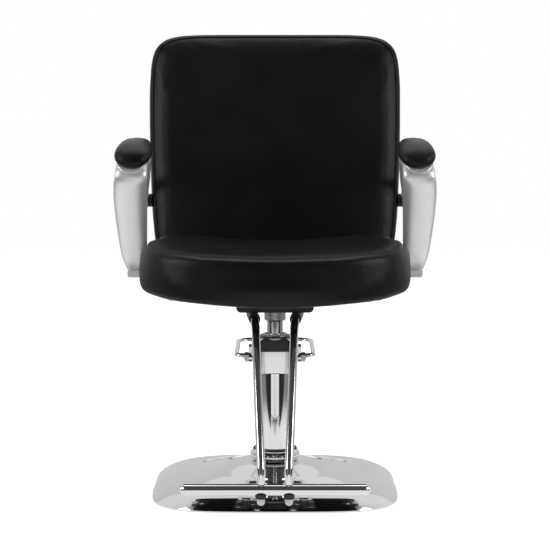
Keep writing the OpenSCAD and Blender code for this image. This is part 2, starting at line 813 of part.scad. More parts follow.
module arm() {
    steps = arm_rows * arm_steps;
    difference() {
        loft([for (i = [0:steps])
            let(u = i / arm_steps, b = band(u))
            band_ring(u, [for (j = [0:arm_points - 1])
                super(-360 * j / arm_points, b[3] / 2, b[4] / 2, arm_exponent)])]);
        translate([0, arm_front_y, arm_foot_z - arm_w]) cube([back_w, arm_rear_y - arm_front_y, arm_w]);
    }
}

// Places along the band from one row to another: each place where the casting has a ring, and more at the ends
function band_places(from, to) =
    let(first = ceil(from * arm_steps) / arm_steps, last = floor(to * arm_steps) / arm_steps)
    concat(
        [for (s = end_shares) from + (first - from) * s],
        [for (u = [first:1 / arm_steps:last]) u],
        [for (k = [len(end_shares) - 1:-1:0]) to - (to - last) * end_shares[k]]
    );

module pad_tray() {
    from = tray_start_share * arm_rows;
    to = tray_stop_share * arm_rows;
    loft([for (u = band_places(from, to))
        let(b = band(u), k = pow(round_end((u - from) / (to - from)), 0.7))
        band_ring(u, [for (j = [0:tray_points - 1])
            let(p = super(-360 * j / tray_points, b[3] / 2 * tray_width_share * k, tray_t / 2, pad_exponent + 1))
            [p[0], b[4] / 2 + gap + tray_t / 2 + p[1]]])]);
}

module arm_pad() {
    from = pad_start_share * arm_rows;
    to = pad_stop_share * arm_rows;
    loft([for (u = band_places(from, to))
        let(
            b = band(u),
            k = round_end((u - from) / (to - from)),
            narrow = ease((u / arm_rows - pad_taper_start_share) / pad_taper_run_share),
            base = b[4] / 2 + 2 * gap + tray_t
        )
        band_ring(u, [for (j = [0:pad_points - 1])
            let(
                half_w = pad_w / 2 * (1 - pad_taper_share * narrow) * pow(k, 0.6),
                p = super(-360 * j / pad_points, half_w, 1, pad_exponent),
                low = pad_low_share * pad_t,
                rise = p[1] > 0 ? low + p[1] * (pad_t - low) * pow(k, 0.7) : low + p[1] * low
            )
            [p[0] - pad_shift * (1 - narrow), base + rise]])]);
}

module arm_left() {
    color("silver") mirror([1, 0, 0]) arm();
}

module arm_right() {
    color("silver") arm();
}

module pad_tray_left() {
    color("silver") mirror([1, 0, 0]) pad_tray();
}

module pad_tray_right() {
    color("silver") pad_tray();
}

module arm_pad_left() {
    color("black") mirror([1, 0, 0]) arm_pad();
}

module arm_pad_right() {
    color("black") arm_pad();
}

// Feet and brackets carry the castings on the seat board
module arm_feet() {
    r = foot_corner_r;
    color("silver") both_sides() translate([bracket_out_x, foot_y + foot_block_l / 2, arm_foot_z - foot_block_h])
        rotate([90, 0, 0]) linear_extrude(foot_block_l) union() {
            square([foot_block_w - r, foot_block_h]);
            translate([0, r]) square([foot_block_w, foot_block_h - r]);
            translate([foot_block_w - r, r]) circle(r = r);
        }
}

module arm_brackets() {
    color("black") both_sides() difference() {
        translate([0, foot_y - bracket_w / 2, 0]) {
            translate([bracket_out_x - bracket_t, 0, seat_z - bracket_t])
                cube([bracket_t, bracket_w, arm_foot_z - seat_z + bracket_t]);
            translate([bracket_in_x, 0, seat_z - bracket_t]) cube([bracket_out_x - bracket_in_x, bracket_w, bracket_t]);
        }
        for (s = [-1, 1]) {
            translate([bracket_bolt_x, foot_y + s * bracket_w / 4, seat_z - bracket_t - eps])
                cylinder(d = bolt_d, h = bracket_t + 2 * eps);
            translate([bracket_in_x, foot_y + s * bracket_w / 4, arm_foot_z - foot_block_h / 2]) rotate([0, 90, 0])
                cylinder(d = bolt_d, h = bracket_out_x);
        }
    }
}

module arm_bracket_bolts() {
    color("silver") both_sides() for (s = [-1, 1]) {
        translate([bracket_bolt_x, foot_y + s * bracket_w / 4, seat_z - bracket_t]) {
            cylinder(d = bolt_d, h = bracket_t);
            translate([0, 0, -bolt_head_h]) hex_head(bolt_head_d, bolt_head_h);
        }
        translate([bracket_out_x - bracket_t, foot_y + s * bracket_w / 4, arm_foot_z - foot_block_h / 2])
            rotate([0, 90, 0]) {
                cylinder(d = bolt_d, h = bracket_t);
                translate([0, 0, -bolt_head_h]) cylinder(d = bolt_head_d - 2 * washer_t, h = bolt_head_h);
            }
    }
}

// Back: a cushion on a board, with a shell behind it, all leaning together
back_z = 420;
back_points = 56;
back_exponent = 8.2;
back_taper_share = 0.045;
back_taper_end_share = 0.55;
back_crown = 9;
back_board_t = 10;
back_board_inset = 22;
back_bracket_x = 70;
back_bracket_w = 38;
back_bracket_t = 6;
back_bracket_clear = 6;
back_bracket_start_y = pan_front_y + pan_d + back_bracket_clear;
back_bracket_h = 150;
back_bolt_w_share = [0.5, 0.85];
back_bolt_y_share = [0.2, 0.75];

// A point of the back's outline, x and height, at angle t, drawn in by an inset
function back_plan(t, inset) =
    let(
        p = super(t, back_w / 2 - inset, back_h / 2 - inset, back_exponent),
        h = back_h / 2 + p[1],
        draw = 1 - back_taper_share * max(0, 1 - h / (back_h * back_taper_end_share))
    )
    [p[0] * draw, h];

function back_ring(inset, depth) =
    [for (j = [0:back_points - 1]) let(p = back_plan(360 * j / back_points, inset)) [p[0], depth, p[1]]];

// A ring of the front panel at a share s of the outline
function back_front_ring(s) = [
    for (j = [0:back_points - 1])
        let(p = back_plan(360 * j / back_points, 0), h = back_h / 2 + s * (p[1] - back_h / 2))
        [s * p[0], back_crown * (pow(s, 4) - 1) * ease(h / (back_h / 3)), h]
];

module leaning() {
    translate([0, back_y, back_z]) rotate([-back_lean, 0, 0]) children();
}

module back_cushion() {
    inset_share = [0.14, 0.05, 0, 0, 0, 0.02, 0.06, 0.11];
    depth_share = [1, 0.95, 0.8, 0.5, 0.25, 0.12, 0.05, 0.015];
    sides = [for (i = [0:len(inset_share) - 1]) back_ring(inset_share[i] * back_t, depth_share[i] * back_t)];
    front = [for (s = [0.955, 0.92, 0.85, 0.7, 0.45]) back_front_ring(s)];
    color("black") leaning() loft(concat(sides, front));
}

module back_board() {
    color("peru") leaning() translate([0, back_t + back_board_t, 0]) rotate([90, 0, 0]) linear_extrude(back_board_t)
        polygon([for (j = [0:back_points - 1]) back_plan(360 * j / back_points, back_board_inset + gap)]);
}

module back_shell() {
    inset_share = [0.15, 0.05, 0.25, 0.7, 1.3];
    depth_share = [0, 0.2, 0.6, 0.88, 1];
    recess = back_ring(back_board_inset, back_t + back_board_t);
    mouth = back_ring(back_board_inset, back_t);
    sides = [for (i = [0:len(inset_share) - 1])
        back_ring(inset_share[i] * back_shell_t, back_t + depth_share[i] * back_shell_t)];
    rings = concat([recess], [mouth], sides);
    color("black") leaning() loft([for (i = [len(rings) - 1:-1:0]) rings[i]]);
}

module back_spacers() {
    lean_y = spacer_y - back_y;
    lean_z = spacer_z - back_z;
    h = lean_y * sin(back_lean) + lean_z * cos(back_lean);
    draw = 1 - back_taper_share * max(0, 1 - h / (back_h * back_taper_end_share));
    in_x = back_w / 2 * draw + 2 * gap;
    b = band(arm_rows);
    out_x = b[2] - b[3] / 2 - gap;
    color("black") both_sides() translate([in_x, spacer_y, spacer_z]) rotate([0, 90, 0])
        cylinder(d = spacer_d, h = out_x - in_x);
}

// A point in the chair's y and z, from a depth and a height in the leaning back
function lean_point(depth, h) = [
    back_y + depth * cos(back_lean) + h * sin(back_lean), back_z - depth * sin(back_lean) + h * cos(back_lean)
];

// Height along the lean at which a depth meets a level z
function lean_height(depth, z) = (z - back_z + depth * sin(back_lean)) / cos(back_lean);

module back_brackets() {
    near = back_t + back_shell_t;
    far = near + back_bracket_t;
    low_z = seat_z - back_bracket_t;
    color("black") both_sides() translate([back_bracket_x - back_bracket_w / 2, 0, 0]) rotate([90, 0, 90])
        linear_extrude(back_bracket_w) polygon([
            [back_bracket_start_y, low_z], lean_point(far, lean_height(far, low_z)), lean_point(far, back_bracket_h),
            lean_point(near, back_bracket_h), lean_point(near, lean_height(near, seat_z)), [back_bracket_start_y, seat_z]
        ]);
}

module back_bracket_bolts() {
    board_end_y = seat_front_y + seat_d - board_inset;
    color("silver") both_sides() {
        for (s = back_bolt_w_share)
            leaning() translate([back_bracket_x, back_t + back_shell_t + back_bracket_t, s * back_bracket_h])
                rotate([-90, 0, 0]) hex_head(bolt_head_d, bolt_head_h);
        for (s = back_bolt_y_share)
            translate([back_bracket_x, back_bracket_start_y + s * (board_end_y - back_bracket_start_y),
                seat_z - back_bracket_t - bolt_head_h])
                hex_head(bolt_head_d, bolt_head_h);
    }
}

base_plate();
base_cover();
column_flange();
flange_bolts();
column_tube();
column_collar();
collar_gasket();
inner_cylinder();
pump_head();
head_disc();
packing_nut();
wiper_seal();
pump_barrel();
pivot_pins();
pivot_nuts();
piston_rod();
piston_ring();
pedal_bail();
pedal_yoke();
pump_plunger();
plunger_spring();
seat_socket();
seat_plate();
plate_bolts();
seat_board();
seat_cushion();
footrest_sockets();
footrest_arm_left();
footrest_arm_right();
footrest_crossbar();
crossbar_plugs();
footrest_studs();
tapered_washers();
acorn_nuts();
arm_left();
arm_right();
arm_pad_left();
arm_pad_right();
pad_tray_left();
pad_tray_right();
arm_feet();
arm_brackets();
arm_bracket_bolts();
back_spacers();
back_board();
back_cushion();
back_shell();
back_brackets();
back_bracket_bolts();
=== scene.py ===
import json
from math import copysign, cos, exp, floor, hypot, pi, radians, sin, sqrt
import bmesh
import bpy
import numpy as np
from mathutils import Matrix, Vector
from mathutils.bvhtree import BVHTree
from mathutils.kdtree import KDTree


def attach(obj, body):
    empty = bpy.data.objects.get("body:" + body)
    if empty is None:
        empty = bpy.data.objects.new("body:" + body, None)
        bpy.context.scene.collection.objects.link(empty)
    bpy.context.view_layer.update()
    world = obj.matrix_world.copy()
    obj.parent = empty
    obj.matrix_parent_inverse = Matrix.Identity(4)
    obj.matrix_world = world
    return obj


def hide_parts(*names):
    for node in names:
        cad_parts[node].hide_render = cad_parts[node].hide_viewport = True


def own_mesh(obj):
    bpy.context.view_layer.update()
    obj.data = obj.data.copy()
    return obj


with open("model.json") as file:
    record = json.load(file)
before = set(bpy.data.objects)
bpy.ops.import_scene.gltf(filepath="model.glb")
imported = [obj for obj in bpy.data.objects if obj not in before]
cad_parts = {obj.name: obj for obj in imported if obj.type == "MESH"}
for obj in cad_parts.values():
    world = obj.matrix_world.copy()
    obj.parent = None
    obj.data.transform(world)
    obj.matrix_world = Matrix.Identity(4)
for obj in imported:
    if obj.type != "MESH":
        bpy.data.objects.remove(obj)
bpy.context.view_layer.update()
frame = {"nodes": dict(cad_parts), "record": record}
nodes = frame["nodes"]
slotOf = {entry["node"]: entry["material_slot"] for entry in frame["record"]["subparts"]}
print("frame loaded:", len(nodes), "nodes")


# ---- small helpers for materials ----

def feed(tree, node, inputs):
    # an input takes a value, or another node's output, which is then linked to it
    for key, value in inputs.items():
        if isinstance(value, bpy.types.NodeSocket):
            tree.links.new(value, node.inputs[key])
        else:
            node.inputs[key].default_value = value
    return node


def addNode(tree, kind, settings=None, inputs=None):
    node = tree.nodes.new(kind)
    for key, value in (settings or {}).items():
        setattr(node, key, value)
    return feed(tree, node, inputs or {})


def addMath(tree, operation, *values):
    return addNode(tree, "ShaderNodeMath", {"operation": operation}, dict(enumerate(values))).outputs[0]


def newGroup(name, inputs, outputs):
    # an input without a value is a vector, and all the others are numbers
    tree = bpy.data.node_groups.new(name, "ShaderNodeTree")
    for label, value in inputs.items():
        kind = "NodeSocketVector" if value is None else "NodeSocketFloat"
        socket = tree.interface.new_socket(name=label, in_out="INPUT", socket_type=kind)
        if value is not None:
            socket.default_value = value
    for label in outputs:
        tree.interface.new_socket(name=label, in_out="OUTPUT", socket_type="NodeSocketFloat")
    return tree, tree.nodes.new("NodeGroupInput").outputs, tree.nodes.new("NodeGroupOutput")


def makeVinylGrain():
    # pebbled grain of upholstery vinyl: small cells, with soft creases among them
    tree, given, result = newGroup("vinylGrain", {"Vector": None, "Scale": 600.0, "Crease": 0.35},
                                   ("Height",))
    cells = addNode(tree, "ShaderNodeTexVoronoi", {"feature": "F1"},
                    {"Vector": given["Vector"], "Scale": given["Scale"], "Randomness": 1.0})
    folds = addNode(tree, "ShaderNodeTexNoise", None,
                    {"Vector": given["Vector"], "Scale": addMath(tree, "MULTIPLY", given["Scale"], 0.22),
                     "Detail": 3.0, "Roughness": 0.55})
    crease = addMath(tree, "MULTIPLY", folds.outputs["Fac"], given["Crease"])
    feed(tree, result, {"Height": addMath(tree, "SUBTRACT", crease, cells.outputs["Distance"])})
    return tree


def makeHandling():
    # faint smears and dust: a soft mask that roughness and colour read
    tree, given, result = newGroup("handlingMarks", {"Vector": None, "Scale": 9.0, "Low": 0.1, "High": 0.2},
                                   ("Value", "Mask"))
    noise = addNode(tree, "ShaderNodeTexNoise", None,
                    {"Vector": given["Vector"], "Scale": given["Scale"], "Detail": 5.0, "Roughness": 0.6,
                     "Distortion": 0.4})
    spread = addNode(tree, "ShaderNodeMapRange", None,
                     {"Value": noise.outputs["Fac"], "From Min": 0.3, "From Max": 0.7,
                      "To Min": given["Low"], "To Max": given["High"]})
    feed(tree, result, {"Value": spread.outputs["Result"], "Mask": noise.outputs["Fac"]})
    return tree


vinylGrain = makeVinylGrain()
handling = makeHandling()


def startMaterial(name):
    mat = bpy.data.materials.new(name)
    mat.use_nodes = True
    tree = mat.node_tree
    return mat, tree, tree.nodes["Principled BSDF"], addNode(tree, "ShaderNodeTexCoord").outputs["Object"]


def addTone(tree, shader, mask, look):
    ramp = addNode(tree, "ShaderNodeValToRGB", None, {"Fac": mask})
    for stop, share, color in zip(ramp.color_ramp.elements, (0.32, 0.68), (look["dark"], look["light"])):
        stop.position, stop.color = share, (*color, 1)
    feed(tree, shader, {"Base Color": ramp.outputs["Color"]})


def addMarks(tree, shader, place, look):
    marks = addNode(tree, "ShaderNodeGroup", {"node_tree": handling},
                    {"Vector": place, "Scale": look["markScale"], "Low": look["roughLow"],
                     "High": look["roughHigh"]})
    feed(tree, shader, {"Roughness": marks.outputs["Value"]})
    addTone(tree, shader, marks.outputs["Mask"], look)


def addBump(tree, shader, height, distance, strength=1.0):
    bump = addNode(tree, "ShaderNodeBump", None,
                   {"Height": height, "Strength": strength, "Distance": distance})
    feed(tree, shader, {"Normal": bump.outputs["Normal"]})


def makeVinyl(name, look):
    mat, tree, shader, place = startMaterial(name)
    feed(tree, shader, {"Specular IOR Level": look["specular"], "Sheen Weight": look["sheen"],
                        "Sheen Roughness": 0.4})
    addMarks(tree, shader, place, look)
    grain = addNode(tree, "ShaderNodeGroup", {"node_tree": vinylGrain},
                    {"Vector": place, "Scale": look["grainScale"], "Crease": look["crease"]})
    addBump(tree, shader, grain.outputs["Height"], look["grainDepth"], 0.7)
    return mat


def makeMetal(name, look):
    mat, tree, shader, place = startMaterial(name)
    feed(tree, shader, {"Metallic": look["metallic"]})
    addMarks(tree, shader, place, look)
    if look["skin"] > 0:
        stretch = addNode(tree, "ShaderNodeMapping", None, {"Vector": place, "Scale": look["skinStretch"]})
        skin = addNode(tree, "ShaderNodeTexNoise", None,
                       {"Vector": stretch.outputs["Vector"], "Scale": look["skinScale"], "Detail": 3.0})
        addBump(tree, shader, skin.outputs["Fac"], look["skin"], 0.6)
    return mat


def makePlywood(name, look):
    mat, tree, shader, place = startMaterial(name)
    layers = addNode(tree, "ShaderNodeTexWave", {"wave_type": "BANDS", "bands_direction": look["across"]},
                     {"Vector": place, "Scale": look["layerScale"], "Distortion": 0.6, "Detail": 2.0,
                      "Detail Scale": 1.5})
    stretch = addNode(tree, "ShaderNodeMapping", None, {"Vector": place, "Scale": look["grainStretch"]})
    grain = addNode(tree, "ShaderNodeTexNoise", None,
                    {"Vector": stretch.outputs["Vector"], "Scale": look["grainScale"], "Detail": 6.0,
                     "Distortion": 1.2})
    mixed = addMath(tree, "MULTIPLY_ADD", layers.outputs["Fac"], look["layerShare"], grain.outputs["Fac"])
    feed(tree, shader, {"Roughness": 0.6})
    addTone(tree, shader, mixed, look)
    addBump(tree, shader, grain.outputs["Fac"], look["grainDepth"])
    return mat


metalLook = {"metallic": 1.0, "roughLow": 0.04, "roughHigh": 0.09, "markScale": 7.0,
             "dark": (0.74, 0.75, 0.76), "light": (0.83, 0.83, 0.84),
             "skin": 0.0, "skinScale": 300.0, "skinStretch": (1.0, 1.0, 1.0)}
castLook = {**metalLook, "metallic": 0.72, "roughLow": 0.36, "roughHigh": 0.44, "markScale": 11.0,
            "dark": (0.77, 0.77, 0.775), "light": (0.86, 0.86, 0.86), "skin": 0.00025, "skinScale": 900.0}
zincLook = {**metalLook, "roughLow": 0.2, "roughHigh": 0.32, "markScale": 25.0,
            "dark": (0.5, 0.5, 0.5), "light": (0.66, 0.66, 0.65), "skin": 0.0002, "skinScale": 700.0,
            "skinStretch": (1.0, 1.0, 6.0)}
paintLook = {**metalLook, "metallic": 0.0, "roughLow": 0.3, "roughHigh": 0.42, "markScale": 14.0,
             "dark": (0.008, 0.008, 0.008), "light": (0.018, 0.018, 0.018), "skin": 0.0004,
             "skinScale": 520.0}
ironLook = {**paintLook, "roughLow": 0.42, "roughHigh": 0.6, "dark": (0.05, 0.05, 0.055),
            "light": (0.11, 0.11, 0.115), "skin": 0.0012, "skinScale": 260.0}
rubberLook = {**paintLook, "roughLow": 0.55, "roughHigh": 0.75, "dark": (0.01, 0.01, 0.01),
              "light": (0.022, 0.022, 0.021), "skin": 0.0005, "skinScale": 800.0}
vinylLook = {"specular": 0.22, "sheen": 0.0, "roughLow": 0.3, "roughHigh": 0.39, "markScale": 6.0,
             "dark": (0.0035, 0.0035, 0.0036), "light": (0.006, 0.006, 0.0062),
             "grainScale": 620.0, "crease": 0.4, "grainDepth": 0.00035}
padLook = {**vinylLook, "roughLow": 0.38, "roughHigh": 0.5, "markScale": 18.0, "grainScale": 900.0,
           "crease": 0.15, "grainDepth": 0.00018, "sheen": 0.03}
shellLook = {**vinylLook, "roughLow": 0.4, "roughHigh": 0.52}
liningLook = {**vinylLook, "specular": 0.15, "roughLow": 0.8, "roughHigh": 0.95, "grainScale": 1500.0}
plyLook = {"across": "Z", "layerScale": 90.0, "layerShare": 0.35, "grainScale": 26.0,
           "grainStretch": (1.0, 9.0, 9.0), "grainDepth": 0.0004,
           "dark": (0.3, 0.19, 0.1), "light": (0.6, 0.44, 0.27)}

materials = {
    "chrome": makeMetal("chromePlate", metalLook),
    "zinc_steel": makeMetal("zincSteel", zincLook),
    "black_steel": makeMetal("blackPowderCoat", paintLook),
    "base_iron": makeMetal("baseEnamel", ironLook),
    "black_rubber": makeMetal("blackRubber", rubberLook),
    "cast_silver": makeMetal("castSilver", castLook),
    "pad_black": makeVinyl("mouldedPad", padLook),
    "black_vinyl": makeVinyl("blackVinyl", vinylLook),
    "shell_black": makeVinyl("backCover", shellLook),
    "plywood": makePlywood("plywood", plyLook),
    "black_board": makeVinyl("liningCloth", liningLook),
}
threadLook = {**padLook, "dark": (0.02, 0.02, 0.021), "light": (0.035, 0.035, 0.036), "roughLow": 0.5,
              "roughHigh": 0.6, "grainScale": 2500.0}
threadMaterial = makeVinyl("stitchThread", threadLook)

for name, node in nodes.items():
    node.data.materials.clear()
    node.data.materials.append(materials[slotOf[name]])
print("materials made:", len(materials) + 1)


# ---- small helpers for shapes ----

def superPoint(angle, a, b, power):
    c, s = cos(angle), sin(angle)
    return a * copysign(abs(c) ** (2 / power), c), b * copysign(abs(s) ** (2 / power), s)


def around(count):
    return [2 * pi * j / count for j in range(count)]


def ease(s):
    s = min(1.0, max(0.0, s))
    return s * s * (3 - 2 * s)


def blendRows(rows, u):
    # the same smooth reading of a table as the part's source has
    last = len(rows) - 1
    i = min(last - 1, max(0, floor(u)))
    s = u - i
    a, b, c, d = (rows[min(last, max(0, k))] for k in (i - 1, i, i + 1, i + 2))
    return [(2 * q + (r - p) * s + (2 * p - 5 * q + 4 * r - t) * s * s
             + (3 * q - p - 3 * r + t) * s ** 3) / 2 for p, q, r, t in zip(a, b, c, d)]


def drawnIn(outline, share, middle):
    return [(share * x, middle + share * (y - middle)) for x, y in outline]


def evenRing(ring, count):
    # the ring's points spread evenly along its length, from its first point
    closed = [Vector(p) for p in ring] + [Vector(ring[0])]
    lengths = [0.0]
    for a, b in zip(closed, closed[1:]):
        lengths.append(lengths[-1] + (b - a).length)
    spread, k = [], 0
    for j in range(count):
        want = lengths[-1] * j / count
        while lengths[k + 1] < want:
            k += 1
        part = (want - lengths[k]) / max(1e-12, lengths[k + 1] - lengths[k])
        spread.append(closed[k].lerp(closed[k + 1], part))
    return spread


def addObject(name, data):
    obj = bpy.data.objects.new(name, data)
    bpy.context.scene.collection.objects.link(obj)
    return obj


def smoothFaces(obj):
    obj.data.polygons.foreach_set("use_smooth", [True] * len(obj.data.polygons))
    obj.data.update()
    return obj


def loft(name, rings, closed=True, loop=False):
    # a skin through rings of equal counts; closed adds a fan at each end, loop joins last to first
    count = len(rings[0])
    verts = [Vector(p) for ring in rings for p in ring]
    faces = []
    for i in range(len(rings) if loop else len(rings) - 1):
        a, b = i * count, ((i + 1) % len(rings)) * count
        faces += [(a + j, a + (j + 1) % count, b + (j + 1) % count, b + j) for j in range(count)]
    if closed and not loop:
        for start, ring in ((0, rings[0]), ((len(rings) - 1) * count, rings[-1])):
            verts.append(sum((Vector(p) for p in ring), Vector()) / count)
            faces += [(start + j, start + (j + 1) % count, len(verts) - 1) for j in range(count)]
    mesh = bpy.data.meshes.new(name)
    mesh.from_pydata([tuple(v) for v in verts], [], faces)
    clean = bmesh.new()
    clean.from_mesh(mesh)
    bmesh.ops.remove_doubles(clean, verts=clean.verts, dist=1e-6)
    bmesh.ops.recalc_face_normals(clean, faces=clean.faces)
    clean.to_mesh(mesh)
    clean.free()
    return smoothFaces(addObject(name, mesh))


def sharpEdges(obj, degrees):
    # edges sharper than this stay crisp, and the rest shade smooth
    mesh = obj.data
    edges = bmesh.new()
    edges.from_mesh(mesh)
    for edge in edges.edges:
        if len(edge.link_faces) == 2 and edge.calc_face_angle(0) > radians(degrees):
            edge.smooth = False
    edges.to_mesh(mesh)
    edges.free()
    return obj


def lathe(name, profile, axis="Z", centre=(0, 0, 0), steps=96, sharp=35):
    # turns a profile of (radius, place) pairs; a closed profile makes a ring, an open one ends on the axis
    rings = []
    for radius, place in profile:
        ring = []
        for a in around(steps):
            p, q = radius * cos(a), radius * sin(a)
            ring.append({"Z": (p, q, place), "X": (place, p, q), "Y": (q, place, p)}[axis])
        rings.append([Vector(p) + Vector(centre) for p in ring])
    loop = profile[0][0] > 1e-9 and profile[-1][0] > 1e-9
    return sharpEdges(loft(name, rings, closed=False, loop=loop), sharp)


def arc(centreX, centreY, radius, start, end, steps=14):
    # points along an arc between two angles in degrees
    angles = [radians(start + (end - start) * k / steps) for k in range(steps + 1)]
    return [(centreX + radius * cos(a), centreY + radius * sin(a)) for a in angles]


def fillet(profile, radius, steps=5):
    # rounds each inner corner of an open profile by a small radius
    out = [profile[0]]
    for before, here, after in zip(profile, profile[1:], profile[2:]):
        p, q, r = Vector(before), Vector(here), Vector(after)
        reach = min(radius, (p - q).length * 0.45, (r - q).length * 0.45)
        if reach < 1e-6:
            out.append(here)
            continue
        a, b = q + (p - q).normalized() * reach, q + (r - q).normalized() * reach
        for k in range(steps + 1):
            t = k / steps
            out.append(tuple((1 - t) ** 2 * a + 2 * t * (1 - t) * q + t * t * b))
    return out + [profile[-1]]


def sweep(name, path, radius, sides=32, closedEnds=True):
    # a round rod along a path, with its rings kept from twisting
    points = [Vector(p) for p in path]
    tangent = (points[1] - points[0]).normalized()
    side = tangent.orthogonal().normalized()
    rings = []
    for k, p in enumerate(points):
        ahead = points[min(k + 1, len(points) - 1)] - points[max(k - 1, 0)]
        turned = ahead.normalized()
        side = (side - turned * side.dot(turned)).normalized()
        other = turned.cross(side)
        rings.append([p + (side * cos(a) + other * sin(a)) * radius for a in around(sides)])
    return sharpEdges(loft(name, rings, closed=closedEnds), 50)


def cutFlat(obj, place, outward):
    # cuts a closed solid off at a plane and closes it with a flat face
    mesh = bmesh.new()
    mesh.from_mesh(obj.data)
    cut = bmesh.ops.bisect_plane(mesh, geom=mesh.verts[:] + mesh.edges[:] + mesh.faces[:], plane_co=place,
                                 plane_no=outward, clear_outer=True)
    rim = [part for part in cut["geom_cut"] if isinstance(part, bmesh.types.BMEdge)]
    bmesh.ops.edgenet_fill(mesh, edges=rim)
    bmesh.ops.recalc_face_normals(mesh, faces=mesh.faces[:])
    mesh.to_mesh(obj.data)
    mesh.free()
    return obj


def mirrored(obj, name):
    mesh = obj.data.copy()
    mesh.transform(Matrix.Diagonal((-1, 1, 1, 1)))
    mesh.flip_normals()
    mesh.name = name
    return addObject(name, mesh)


def settle(obj, body, slotName, *replaced):
    # gives the piece its body, its slot with that slot's material, and the nodes it replaces
    if not obj.data.materials:
        obj.data.materials.append(materials[slotName])
    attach(obj, body)
    if replaced:
        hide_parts(*replaced)
    return obj


def applyModifiers(obj):
    graph = bpy.context.evaluated_depsgraph_get()
    made = bpy.data.meshes.new_from_object(obj.evaluated_get(graph), depsgraph=graph)
    obj.modifiers.clear()
    obj.data = made
    return obj


# ---- base ----

baseLook = {"width": 0.482, "depth": 0.452, "rimHigh": 0.022, "domeHigh": 0.053, "sheet": 0.0025,
            "hole": 0.074, "lip": 0.003, "rimRun": 0.060, "edgePower": 4.2, "roundRun": 0.8, "sides": 200,
            "firstRise": 0.45, "firstEnd": 0.42, "nextRise": 0.55, "nextFrom": 0.30, "nextRun": 0.62}


def coverRise(look, s):
    # height of the cover at a share of the way in from its rim
    run = s * (look["width"] - look["hole"]) / 2
    whole = (look["width"] - look["hole"]) / 2 - look["rimRun"]
    rim = min(1.0, run / look["rimRun"])
    low = look["lip"] + (look["rimHigh"] - look["lip"]) * (1 - (1 - rim) ** 2)
    if run <= look["rimRun"]:
        return low
    q = (run - look["rimRun"]) / whole
    first, then = ease(q / look["firstEnd"]), ease((q - look["nextFrom"]) / look["nextRun"])
    return look["rimHigh"] + (look["domeHigh"] - look["rimHigh"]) * (
        look["firstRise"] * first + look["nextRise"] * then)


def coverRing(look, s, z, inset=0.0):
    power = 2 + (look["edgePower"] - 2) * (1 - ease(s / look["roundRun"]))
    w = (1 - s) * look["width"] / 2 + s * look["hole"] / 2 - inset
    d = (1 - s) * look["depth"] / 2 + s * look["hole"] / 2 - inset
    return evenRing([(*superPoint(a, w, d, power), z) for a in around(720)], look["sides"])


def makeBaseCover(look):
    shares = [0.004 * k for k in range(6)] + [0.02 + 0.98 * k / 90 for k in range(1, 91)]
    rings = [coverRing(look, 0, 0.0), coverRing(look, 0, look["lip"] * 0.6)]
    rings += [coverRing(look, s, coverRise(look, s)) for s in shares]
    rings.append(coverRing(look, 1, look["domeHigh"] - look["sheet"]))
    # the underside needs fewer rings
    rings += [coverRing(look, s, max(0.0, coverRise(look, s) - look["sheet"]))
              for s in (0.8, 0.6, 0.4, 0.3, 0.1)]
    rings.append(coverRing(look, 0, 0.0, look["sheet"]))
    return loft("baseCover", rings, closed=False, loop=True)


settle(sharpEdges(makeBaseCover(baseLook), 50), "base", "chrome", "base_cover")
print("base cover made")

# ---- column and pump ----

columnLook = {"tubeRadius": 0.035, "tubeLow": 0.011, "tubeWall": 0.004, "headZ": 0.231, "headHigh": 0.070,
              "headRadius": 0.043, "headEdge": 0.0015, "shoulder": 0.033,
              "nutRadius": 0.02305, "nutDeep": 0.04,
              "collarRadius": 0.050, "collarLow": 0.053, "collarHigh": 0.022, "collarFit": 0.0003,
              "gasketRadius": 0.044, "gasketHigh": 0.006, "gasketEdge": 0.002,
              "bossRadius": 0.011, "bossIn": 0.036, "bossOut": 0.046, "bossBevel": 0.0012,
              "bossHole": 0.0052,
              "flat": 0.012, "bendRise": 0.0435, "bendFacing": (0, -0.86, 0.51), "pivotZ": 0.260,
              "pistonRadius": 0.0156, "pistonLow": 0.070, "pistonTop": 0.352}


def makeColumn(look):
    r, high, inside = look["tubeRadius"], look["headZ"], look["tubeRadius"] - look["tubeWall"]
    tube = lathe("columnTube", [(inside, look["tubeLow"]), (r, look["tubeLow"]), (r, high), (inside, high)])
    settle(tube, "base", "chrome", "column_tube")
    base, half, gasketHalf = look["collarLow"], look["collarHigh"] / 2, look["gasketHigh"] / 2
    inner, bulge, seat = r + look["collarFit"], look["collarRadius"] - half, look["gasketRadius"]
    profile = [(inner, base), (bulge, base)] + arc(bulge, base + half, half, -85, 85)
    profile += [(bulge, base + 2 * half), (seat, base + 2 * half), (seat, base + 2 * half - gasketHalf),
                (inner, base + 2 * half - gasketHalf)]
    settle(lathe("columnCollar", profile), "base", "chrome", "column_collar")
    low, edge = base + look["collarHigh"] - gasketHalf, look["gasketEdge"]
    profile = [(inner, low), (seat - 0.0001, low)]
    profile += arc(seat - 0.0001 - edge, low + look["gasketHigh"] - edge, edge, 0, 90, 5)
    profile += [(inner + 0.001, low + look["gasketHigh"]), (inner, low + look["gasketHigh"] - 0.001)]
    settle(lathe("collarGasket", profile), "base", "black_rubber", "collar_gasket")


